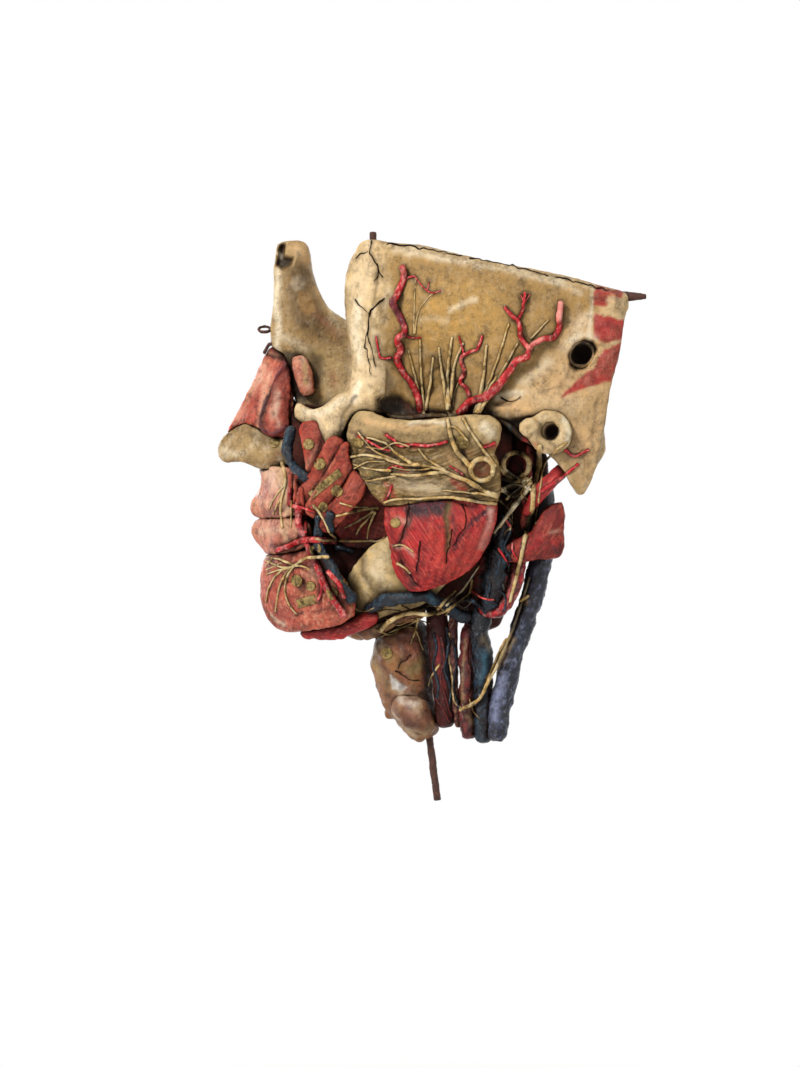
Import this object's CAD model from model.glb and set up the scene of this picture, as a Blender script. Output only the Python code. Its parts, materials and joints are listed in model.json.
"""Left half section of a teaching head: painted paper pulp laid on a core, with iron fittings.

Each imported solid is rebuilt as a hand-made surface, painted and varnished. Threads, small vessels,
paper labels and cracks are then laid on top of what carries them. Routes and outlines are places in
pixels of the photograph, written as text: "421,412 418,397" runs from one place to the next.
"""

import json
import math

import bpy
import numpy as np
from bpy.props import FloatProperty, FloatVectorProperty, PointerProperty
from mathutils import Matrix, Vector

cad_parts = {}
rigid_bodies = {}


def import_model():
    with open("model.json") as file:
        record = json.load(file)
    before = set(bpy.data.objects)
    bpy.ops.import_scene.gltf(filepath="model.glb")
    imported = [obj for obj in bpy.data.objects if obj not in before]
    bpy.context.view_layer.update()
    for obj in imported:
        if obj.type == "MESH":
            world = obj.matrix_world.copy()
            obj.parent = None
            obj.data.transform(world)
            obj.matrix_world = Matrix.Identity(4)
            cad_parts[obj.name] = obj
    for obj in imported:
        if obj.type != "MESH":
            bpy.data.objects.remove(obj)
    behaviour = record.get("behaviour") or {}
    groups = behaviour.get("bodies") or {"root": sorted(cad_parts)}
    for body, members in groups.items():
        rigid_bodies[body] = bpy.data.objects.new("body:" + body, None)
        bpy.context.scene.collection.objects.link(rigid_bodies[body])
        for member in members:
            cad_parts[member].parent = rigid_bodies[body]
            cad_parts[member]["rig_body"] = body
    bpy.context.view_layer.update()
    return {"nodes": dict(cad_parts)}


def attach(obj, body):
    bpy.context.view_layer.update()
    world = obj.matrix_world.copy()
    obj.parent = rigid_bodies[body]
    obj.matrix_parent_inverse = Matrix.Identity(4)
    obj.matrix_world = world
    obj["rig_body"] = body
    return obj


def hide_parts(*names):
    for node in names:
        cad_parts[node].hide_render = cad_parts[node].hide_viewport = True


bl_info = {
    "name": "Head section",
    "version": (1, 0, 0),
    "blender": (4, 5, 0),
    "location": "3D View > Sidebar > Head section",
    "description": "Builds the painted paper pulp half section of a teaching head",
    "category": "Object",
}

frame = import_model()
HALF = "head_half"
LIFTED = "masseter_block"  # the body that lifts off the half

# Units, and where the photograph and the flat cut lie in the frame
MM = 0.001
PIXEL = 0.41 * MM  # one pixel of the photograph, at the outer side of the section
MOUNT_PIXEL = (430, 742)  # where the rod leaves the neck
LATERAL = Vector((0, -1, 0))  # from the flat cut towards the viewer
CUT_DEPTH = 11.5 * MM  # the flat cut lies just behind this depth
CUT_RIM = 0.5 * MM  # the rim of the cut stays crisp this far in front of it
BARE_RIM = 2 * CUT_RIM  # the pulp is bare from this far in front of it

# Surfaces: how fine and how even they are, how the pulp builds up outwards and sideways, and its lumps
PLATE = {
    "step": 0.7 * MM, "rounds": 4, "outer_rounds": 50, "swell": 0.2 * MM, "spread": 0.2 * MM,
    "lump": 0.45 * MM, "lump_span": 13 * MM, "grit": 0.2 * MM, "grit_span": 2.4 * MM,
}
MOULDED = {**PLATE, "rounds": 16, "outer_rounds": 70}
FLESH = {
    "step": 0.65 * MM, "rounds": 5, "outer_rounds": 26, "swell": 0.2 * MM, "spread": 0.35 * MM,
    "lump": 0.4 * MM, "lump_span": 8 * MM, "grit": 0.28 * MM, "grit_span": 2 * MM,
}
WRINKLED = {**FLESH, "lump": 0.9 * MM, "lump_span": 6 * MM, "grit": 0.4 * MM}
BAND = {**FLESH, "step": 0.55 * MM, "swell": -0.35 * MM, "spread": 1.2 * MM, "lump": 0.25 * MM}
CORE = {
    "step": 1.2 * MM, "rounds": 3, "outer_rounds": 8, "swell": 0, "spread": 0.2 * MM, "lump": 0.8 * MM,
    "lump_span": 7 * MM, "grit": 0.4 * MM, "grit_span": 3 * MM,
}
VESSEL = {
    "step": 0.5 * MM, "rounds": 10, "outer_rounds": 0, "swell": 0.35 * MM, "spread": 0.35 * MM,
    "lump": 0.7 * MM, "lump_span": 4 * MM, "grit": 0.3 * MM, "grit_span": 1.4 * MM,
}
TANGLE = {**VESSEL, "lump": 1.3 * MM, "lump_span": 3.4 * MM}
CORD = {
    "step": 0.34 * MM, "rounds": 5, "outer_rounds": 0, "swell": 0.22 * MM, "spread": 0.22 * MM,
    "lump": 0.16 * MM, "lump_span": 3 * MM, "grit": 0.05 * MM, "grit_span": 1 * MM,
}
THREAD = {**CORD, "swell": -0.45 * MM, "spread": -0.45 * MM}
FORGED = {**CORD, "swell": 0.1 * MM, "spread": 0.1 * MM, "grit": 0.08 * MM}

BRIDGE = 0.7 * MM  # pulp that closes the joint between two bones
EVENING_SHARE = 0.5  # how far one round moves a place to the middle of its neighbours
OUTER_EDGE = 0.55  # part of a normal, towards the viewer, from where a surface is evened further
PAINT_EDGE = 0.5  # part of a normal, away from the viewer, where brush strokes end
BARE_EDGE = 0.4  # part of a normal, away from the viewer, where the bare cut begins
TURN_SLOPE = 4  # how sharply each of these three sets in
RELIEF_SLOPE = 2  # how sharply pressed relief fades on a surface that turns away

TINY = 1e-6  # keeps what has no length from being divided by none
TINY_SQUARE = 1e-9

# Unevenness drawn from the noise, which a shift in its cells makes different each time
GRAIN_CELLS = 32
GRAIN_SEED = 11
GRIT_SHIFT = 5
WOBBLE_SPAN = 3.2 * MM  # of a hand-drawn edge
WOBBLE_REACH = 1.6  # pixels
WOBBLE_SHIFTS = (3, 10)
RAGGED_SPAN = 1.2 * MM
RAGGED_REACH = 0.8  # pixels
RAGGED_SHIFTS = (5, 14)
SEAM_SPAN = 5 * MM  # between the pulp layers of the cut
SEAM_SHIFT = 2
SEAM_SLOPE = 9  # how narrow a seam is

# Stage
LENS = 200  # millimetres of the camera's lens, with the sensor below on the long side
SENSOR = 36
CAMERA_PLACE = (-12.3 * MM, -2466 * MM, 85.5 * MM)
FLOOR_LEVEL = -170 * MM
FLOOR_SIZE = 4000 * MM
FLOOR_NEAR = 300 * MM  # from here the floor fades to the backdrop
FLOOR_FAR = 420 * MM
CLIP_DEPTH = 3 * FLOOR_SIZE
LAMP_AIM = (0, -20 * MM, 95 * MM)
LAMPS = (
    {"name": "key", "place": (-900 * MM, -950 * MM, 1000 * MM), "size": 300 * MM, "power": 30},
    {"name": "fill", "place": (1100 * MM, -1000 * MM, 250 * MM), "size": 900 * MM, "power": 3},
    {"name": "rim", "place": (900 * MM, 500 * MM, 900 * MM), "size": 500 * MM, "power": 9},
    {"name": "back", "place": (-700 * MM, 1200 * MM, 500 * MM), "size": 800 * MM, "power": 7},
)
ROOM_LIGHT = 0.22

# Colours: white, the curve of the sRGB standard, and the sockets of the node that mixes two colours
WHITE = (1, 1, 1, 1)
CODE_PLACES = (1, 3, 5)  # of the channels in a hex code
CODE_TOP = 255
CURVE_KNEE = 0.04045  # the curve is a straight line up to here
CURVE_SLOPE = 12.92
CURVE_SHIFT = 0.055
CURVE_POWER = 2.4
SHARE_SOCKET = 0
FIRST_SOCKET = 6
SECOND_SOCKET = 7
MIXED_SOCKET = 2

# Cords that are laid on the surface: their radii, and how they run
BOLD = 1.5 * MM
STOUT = 1.1 * MM
MIDDLE = 0.8 * MM
FINE = 0.55 * MM
HAIR = 0.38 * MM
SLIT = 0.3 * MM
CORD_STEP = 1.6  # pixels between the rings of a cord
CORD_SIDES = 8
TIP_REACH_SHARE = 0.6  # of its radius, at a cord's rounded tips
WAVER_SPAN = 3 * MM  # along a cord, between its thick and its thin places
WAVER_SHIFT = 9
STRAY_SPAN = 2 * MM
STRAY_SHIFTS = (3, 8)
SAG_ROUNDS = 6  # how often a cord is drawn taut over what it crosses
LEAST_HITS = 3  # places of a route that have to find the surface
RAY_START = -150 * MM
RAY_LENGTH = 160 * MM
# Flatness, sink and waver are shares of a cord's radius; it strays by some pixels. A crack is a flat
# dark cord, pressed into what carries it.
LYING = {"flatness": 0.7, "sink": 0.55, "stray": 0.4, "waver": 0.16}
CRACKED = {"flatness": 0.35, "sink": 0.6, "stray": 1.6, "waver": 0.5}

# Paper labels
LABEL_RISE = 0.25 * MM  # glued paper, and the paint that has built up round it
LABEL_SKIRT = 0.6 * MM  # its rim goes this far into the paint
LABEL_STEP = 1.1  # pixels between the points of a label
STRIP_POINTS = 9  # along each side of a strip
CIRCLE_POINTS = 25

# Brushed fibres, and dirt along cords; in pixels
FAN_BOW = np.array((3, 2))  # how far the middle of a fibre bows out
DIRT_FADE = 2.5

# Patterns and finish of the paint; lengths of the real thing, made coarser where a note says so
SPECKLE = 1.1 * MM  # flecks of dirt; real ones are finer, but would not show in the render
BLOTCH = 3.2 * MM  # stains and worn spots
CRACKLE_SPAN = 4 * MM  # between the fine cracks of old varnish
CRACKLE_WARP = 2 * CRACKLE_SPAN  # how far the cracks wander
CREASE_REACH = 7 * MM  # how far dirt and dark varnish spread out of a crease
CREASE_SAMPLES = 6
BUMP_HEIGHT = 0.9 * MM  # brush marks and grit of the pulp
BRUSH = {"Detail": 6, "Roughness": 0.72}
FIBRE = {"Scale": 1, "Detail": 3, "Roughness": 0.6}
CRACKLE = {"Scale": 1 / CRACKLE_SPAN, "Detail": 4}
GRIT_SHARE = 0.6  # of the stains' relief, for the flecks
PULP_BUMP = {"Strength": 0.8, "Distance": BUMP_HEIGHT}
DULL_SPOTS = {"From Min": 0.35, "From Max": 0.65}
GLOSSIER = 0.12  # how far the roughness falls and rises from spot to spot
DULLER = 0.15
FILM = {"From Min": 0.3, "From Max": 0.9}  # varnish is thin in creases and full on open places
FINISH = {"Specular IOR Level": 0.04, "Coat Roughness": 0.12}
IRON_GRAIN = {"Scale": 1 / SPECKLE, "Detail": 6, "Roughness": 0.7}
IRON_BUMP = {"Strength": 0.7, "Distance": BUMP_HEIGHT}
RUST_FILM = {"From Min": 0.4, "From Max": 0.62}
RUST_DULLNESS = {"To Min": 0.42, "To Max": 0.75}
RUSTED_METAL = 0.55

# Layers over the tint, in the order in which they are laid: the coat's paint, the pattern that steers it,
# the pattern's values for none and for full, the strength or the coat's share for it, and the mask
LAYERS = (
    ("second", "mottle", 0.42, 0.6, "mottled", "plain"),
    ("streak", "streaks", 0.5, 0.66, "streaks", "plain"),
    ("glaze", "mottle", 0.5, 0.66, "dirt", "broken"),
    ("glaze", "blotch", 0.52, 0.64, "stains", None),
    ("glaze", "speckle", 0.55, 0.66, "flecks", None),
    ("glaze", "lines", 0.05, 0.0, "crackle", "aged"),
    ("pale", "blotch", 0.44, 0.34, 0.35, None),
    ("pale", "ridge", 0.52, 0.57, 0.8, "worn"),
    ("glaze", "crease", 0.95, 0.42, 0.95, None),
)
# Masks: the pattern, and its values where the mask is shut and where it is open
MASKS = {
    "plain": ("stroked", 1.25, 0.1),
    "broken": ("speckle", 0.38, 0.58),
    "aged": ("mottle", 0.46, 0.6),
    "worn": ("mottle", 0.4, 0.6),
}


def pixels(route):
    """The places of a route or an outline in pixels, whether it is text or pairs."""
    if isinstance(route, str):
        route = [place.split(",") for place in route.split()]
    return np.array(route, float)


def circle(centre, radius):
    """Places round a circle, in pixels."""
    turns = np.linspace(0, math.tau, CIRCLE_POINTS)
    across, down = centre
    return tuple((across + radius * math.cos(turn), down + radius * math.sin(turn)) for turn in turns)


def fan(top, foot, count):
    """Routes that run side by side from one line to another, both given by their ends."""
    starts = np.linspace(*pixels(top), count)
    ends = np.linspace(*pixels(foot), count)
    middles = (starts + ends) / 2 + FAN_BOW
    return tuple(zip(map(tuple, starts), map(tuple, middles), map(tuple, ends)))


def each_cord(rows):
    """Each cord's radius, share of it at the tip and route, from rows that hold cords of one size."""
    return [(radius, share, route) for radius, share, *routes in rows for route in routes]


def dirt_along(cords, name, strength, half_width):
    """Strokes of a dark paint on the surface that cords lie on."""
    return tuple((name, strength, half_width, DIRT_FADE, route) for _, _, route in each_cord(cords))


# Cords of the temple: radius at the root, share of it at the tip, and routes from the root
FRONT_ARTERY = (
    (BOLD, 0.9, "421,412 418,397 412,384 403,372 397,359 401,350 397,340 405,332 400,317 393,304 398,294 "
     "404,279 402,267"),
    (MIDDLE, 0.6, "398,294 402,284 407,279 415,277"),
    (FINE, 0.5, "404,334 410,338 421,338"),
    (FINE, 0.7, "391,358 381,358 378,348 376,337"),
    (HAIR, 0.7, "415,278 425,290 433,294 441,292"),
    (HAIR, 0.6, "427,291 429,283"),
)
REAR_ARTERY = (
    (2.1 * MM, 0.62, "460,415 470,403 486,397 498,386 509,372 515,363 528,357"),
    (STOUT, 1.25, "526,358 530,348 541,341 553,338 558,329 558,319 560,304"),
    (STOUT, 0.7, "528,350 520,338 518,324 511,317 504,309"),
    (MIDDLE, 0.8, "517,322 521,313 523,304 524,294"),
    (HAIR, 0.7, "523,303 520,297", "524,303 529,296"),
    (STOUT, 0.55, "470,402 468,391 460,382 464,372 461,359 469,353 477,350 482,337"),
    (FINE, 0.6, "464,357 461,345 459,337"),
)
FRONT_NERVES = (
    (MIDDLE, 0.55, "424,414 421,368 420,340"),
    (MIDDLE, 0.5, "422,405 414,372 408,350", "426,410 431,378 433,358"),
    (MIDDLE, 0.6, "448,410 443,380 439,348"),
    (STOUT, 0.5, "449,410 448,372 452,338"),
    (MIDDLE, 0.7, "450,408 454,368 463,344"),
    (FINE, 0.6, "452,410 456,388 465,375"),
    (HAIR, 0.7, "414,334 415,279", "415,334 419,311 433,294"),
)
REAR_NERVES = (
    (STOUT, 0.45, "474,415 482,388 486,346"),
    (MIDDLE, 0.5, "475,413 492,376 508,325"),
    (MIDDLE, 0.6, "478,414 496,384 517,344"),
    (STOUT, 0.5, "476,414 484,398 496,378"),
    (FINE, 0.6, "530,340 537,333 548,321"),
)

# Cords of the jaw block
BLOCK_NERVES = (
    (STOUT, 0.5, "497,496 483,491 467,481 456,477 445,472 432,468 419,465 405,465 391,461 378,457 365,455 "
     "350,457"),
    (MIDDLE, 0.6, "446,472 425,474 413,476 391,474"),
    (MIDDLE, 0.5, "445,471 432,463 426,459 419,449", "413,465 397,454 384,443 367,438"),
    (FINE, 0.6, "400,462 378,453 366,442 358,432"),
    (STOUT, 0.7, "470,467 464,460 457,452 451,438 448,424 447,420"),
    (MIDDLE, 0.7, "495,467 484,452 474,438 467,427 463,419"),
    (FINE, 0.8, "467,441 457,430 449,427"),
    (MIDDLE, 0.6, "497,504 480,502 461,499 442,497 419,499 397,499 384,503"),
    (FINE, 0.7, "497,497 480,494 458,492 442,490"),
    (FINE, 0.6, "391,471 370,469 352,464", "396,476 375,480 362,481"),
    (HAIR, 0.7, "385,462 368,462 352,470", "409,447 395,443 382,449 366,447",
     "432,468 420,470 404,470 392,467"),
    (HAIR, 0.8, "392,546 402,545 413,552"),
    (FINE, 0.7, "397,563 404,567 410,573"),
)
BLOCK_LOOP = ((STOUT, 1, circle((481.5, 470), 11)),)
BLOCK_ARTERY = (
    (MIDDLE, 0.8, "386,435 394,440 400,446 413,445 429,446 447,442"),
    (FINE, 0.8, "358,436 368,441 380,448 390,451"),
    (MIDDLE, 0.8, "481,448 489,446 494,443"),
    (FINE, 0.7, "463,475 456,470 449,466"),
    (FINE, 0.6, "392,486 389,494 386,502"),
    (FINE, 0.8, "388,470 396,466 404,469"),
)
JAW_CRACKS = (
    (SLIT, 0.5, "421,542 419,556 416,571"),
    (SLIT, 0.6, "409,503 407,520 402,536 398,546"),
    (SLIT, 0.4, "452,530 449,545 446,565"),
    (SLIT, 0.5, "461,505 466,518 460,533 452,545", "402,560 412,578 421,588"),
)

# Cords beside and behind the block
TRUNK_NERVES = (
    (1.3 * MM, 0.5, "539,446 539,467 534,489 532,508 523,547 517,575 510,602"),
    (STOUT, 0.8, "531,481 513,486 500,491"),
    (1.4 * MM, 0.5, "531,483 526,490 513,507 500,527"),
    (MIDDLE, 0.7, "528,478 515,481 503,473 500,466", "530,480 518,491 506,499"),
    (FINE, 0.6, "566,443 552,454 544,467 540,489 536,524"),
    (FINE, 0.7, "509,476 516,483 524,486"),
    (FINE, 0.8, "504,486 511,493 520,494"),
)
TRUNK_LOOP = ((STOUT, 1, circle((516, 465), 13)),)
VEIN_TIE = ((MIDDLE, 0.8, "515,603 522,600 529,596"),)

# Cords of the cheek and chin
BUCCAL_NERVES = (
    (MIDDLE, 0.5, "378,508 360,510 352,512 336,516"),
    (FINE, 0.6, "368,508 352,506 340,503", "373,511 360,520 344,528", "374,512 360,527 356,535",
     "375,512 369,527 367,539"),
    (FINE, 0.8, "338,541 360,541 378,541 385,537", "313,505 323,518 329,532 338,540"),
    (FINE, 0.7, "315,539 328,541 338,540"),
)
CHIN_NERVES = (
    (MIDDLE, 0.8, "328,557 315,557 304,559 294,566 288,568"),
    (FINE, 0.6, "294,566 280,560 270,558 261,554", "289,568 278,567 267,562 262,559",
     "289,568 277,571 264,575", "283,569 272,579 267,590 264,603", "289,568 280,583 276,598 274,613",
     "296,564 287,575 284,591 288,606 296,615", "294,566 302,566 309,570"),
    (HAIR, 0.7, "272,558 264,566", "281,563 270,568 264,570"),
)
LIP_CORDS = (
    (MIDDLE, 0.7, "280,461 285,480 281,499 280,515 282,528"),
    (FINE, 0.7, "284,484 274,497 268,508", "283,492 276,505 272,514"),
    (HAIR, 0.8, "291,500 291,514 290,527"),
)
LIP_STRAPS = (
    (1.3 * MM, 0.8, "291,474 290,490 288,505"),
    (STOUT, 0.8, "296,476 296,490 294,503", "301,488 303,502 305,514"),
)
CHEEK_ARTERIES = (
    (STOUT, 0.8, "289,489 291,504 299,508 304,521 305,533"),
    (BOLD, 0.8, "336,543 324,541 311,540 298,541 288,546 274,551"),
    (MIDDLE, 0.7, "291,505 303,508 314,512"),
    (STOUT, 0.8, "328,571 333,577 339,584 344,598"),
    (MIDDLE, 0.8, "318,600 322,590 320,580"),
)
CHEEK_VEINS = (
    (1.9 * MM, 0.8, "331,513 329,522 332,532"),
    (1.7 * MM, 0.6, "335,548 344,548 353,552"),
)

# Cords of the throat and neck
TONGUE_NERVES = (
    (STOUT, 0.8, "380,632 388,623 400,616 415,613 428,615 438,611"),
    (MIDDLE, 0.8, "437,614 446,611 463,600 471,593 473,580"),
    (MIDDLE, 0.6, "438,610 446,600 457,591"),
    (FINE, 0.8, "381,638 395,631 410,625 420,619"),
    (FINE, 0.6, "418,619 416,631 411,645"),
    (HAIR, 0.8, "416,631 421,645 424,652"),
    (FINE, 0.6, "440,666 433,676 429,688"),
)
NECK_NERVES = (
    (MIDDLE, 0.9, "507,640 497,661 488,684 480,700 470,707 463,709"),
    (FINE, 0.9, "450,634 449,656 453,679 454,700 461,709"),
)
LARYNX_CRACKS = (
    (SLIT, 0.5, "412,657 401,664 398,670", "396,672 408,680 420,683", "423,655 432,660 434,670"),
)

# Cracks and dark gaps in the bones
BROW_CRACKS = (
    (SLIT, 0.6, "355,298 358,305 366,311 369,315"),
    (SLIT, 0.5, "384,300 374,308 369,315 368,326 369,339 372,353 377,367",
     "368,328 366,348 369,362 371,374", "372,241 371,254 377,265 379,272 375,283",
     "369,252 360,255 356,259", "378,265 382,278"),
)
SKULL_CRACKS = (
    (SLIT, 0.8, "386,244 404,246 424,250 440,253 462,258", "470,259 500,265 530,272 548,277"),
    (SLIT, 0.6, "556,279 584,286 610,293", "500,398 512,402 520,397"),
)

# Cords that run across one another behind the jaw
DEEP_VEINS = (
    (MIDDLE, 0.7, "488,520 496,532 492,546 500,560 496,574", "503,516 510,530 504,546 510,560 502,578"),
    (FINE, 0.7, "484,548 494,556 506,556 514,548"),
    (MIDDLE, 0.6, "480,576 490,584 488,598 498,606"),
    (FINE, 0.7, "498,590 506,598 504,612"),
    (STOUT, 0.7, "440,604 452,606 466,600 478,604 486,614"),
)
DEEP_ARTERIES = (
    (FINE, 0.7, "506,520 514,534 512,548 518,560"),
    (FINE, 0.6, "498,548 508,566 504,584"),
    (MIDDLE, 0.7, "540,492 552,484 566,474 578,464"),
    (MIDDLE, 0.8, "564,450 574,456 588,450"),
    (FINE, 0.7, "470,590 482,598 494,600"),
)
NECK_VEINS = (
    (MIDDLE, 0.7, "447,628 449,648 445,670 451,692 449,708"),
    (FINE, 0.7, "453,640 457,664 454,688 460,710", "434,634 437,650 433,666 439,686 437,700"),
    (FINE, 0.6, "476,640 473,660 477,682 474,700"),
)
NECK_ARTERIES = (
    (FINE, 0.7, "441,638 445,658 441,680 447,702 452,718", "436,700 444,712 450,724"),
    (HAIR, 0.7, "470,636 468,656 471,676 468,698"),
)
HEMP_STRANDS = (
    (HAIR, 0.6, "376,630 390,636 404,628 418,630", "384,618 398,626 412,620 430,624",
     "402,606 416,612 432,606 446,612", "378,612 392,610 406,614", "446,616 456,604 466,608 474,598",
     "350,606 362,612 374,608", "470,700 474,712 480,720", "500,652 494,668 486,680",
     "512,500 506,512 512,524 504,534", "520,470 526,480 522,492 528,500"),
)
DEEP_STRIPS = (
    (FINE, 0.6, "500,500 512,514 510,530"),
    (STOUT, 0.6, "530,488 519,501 507,516 494,533"),
    (FINE, 0.7, "446,606 462,592 472,578 480,566"),
    (FINE, 0.6, "494,478 504,492 518,498"),
    (FINE, 0.7, "506,470 520,480 530,492"),
    (MIDDLE, 0.7, "502,478 514,482 528,480"),
    (MIDDLE, 0.6, "504,489 516,484 531,490"),
    (FINE, 0.7, "508,497 520,488 532,477", "500,484 508,493 522,497"),
)

JAW_FIBRES = fan("424,522 492,524", "418,584 462,576", 12)
CHEEK_FIBRES = fan("334,520 350,500", "384,540 384,510", 7)
GLAND_FIBRES = fan("366,452 362,490", "440,452 444,500", 10)

# Outlines that paint and relief share
SOCKET_OUTLINE = "570,366 568,356 574,346 583,341 592,343 596,350 590,360 584,369 575,372"
BROKEN_OUTLINE = "278,240 283,240 281,252 292,254 289,261 280,266 273,259 275,250"
HOLLOW_OUTLINE = "378,400 391,394 404,397 413,404 430,408 446,411 446,427 378,427"
GULLY_OUTLINE = "496,420 530,419 538,429 536,452 500,452 494,434"

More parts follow.
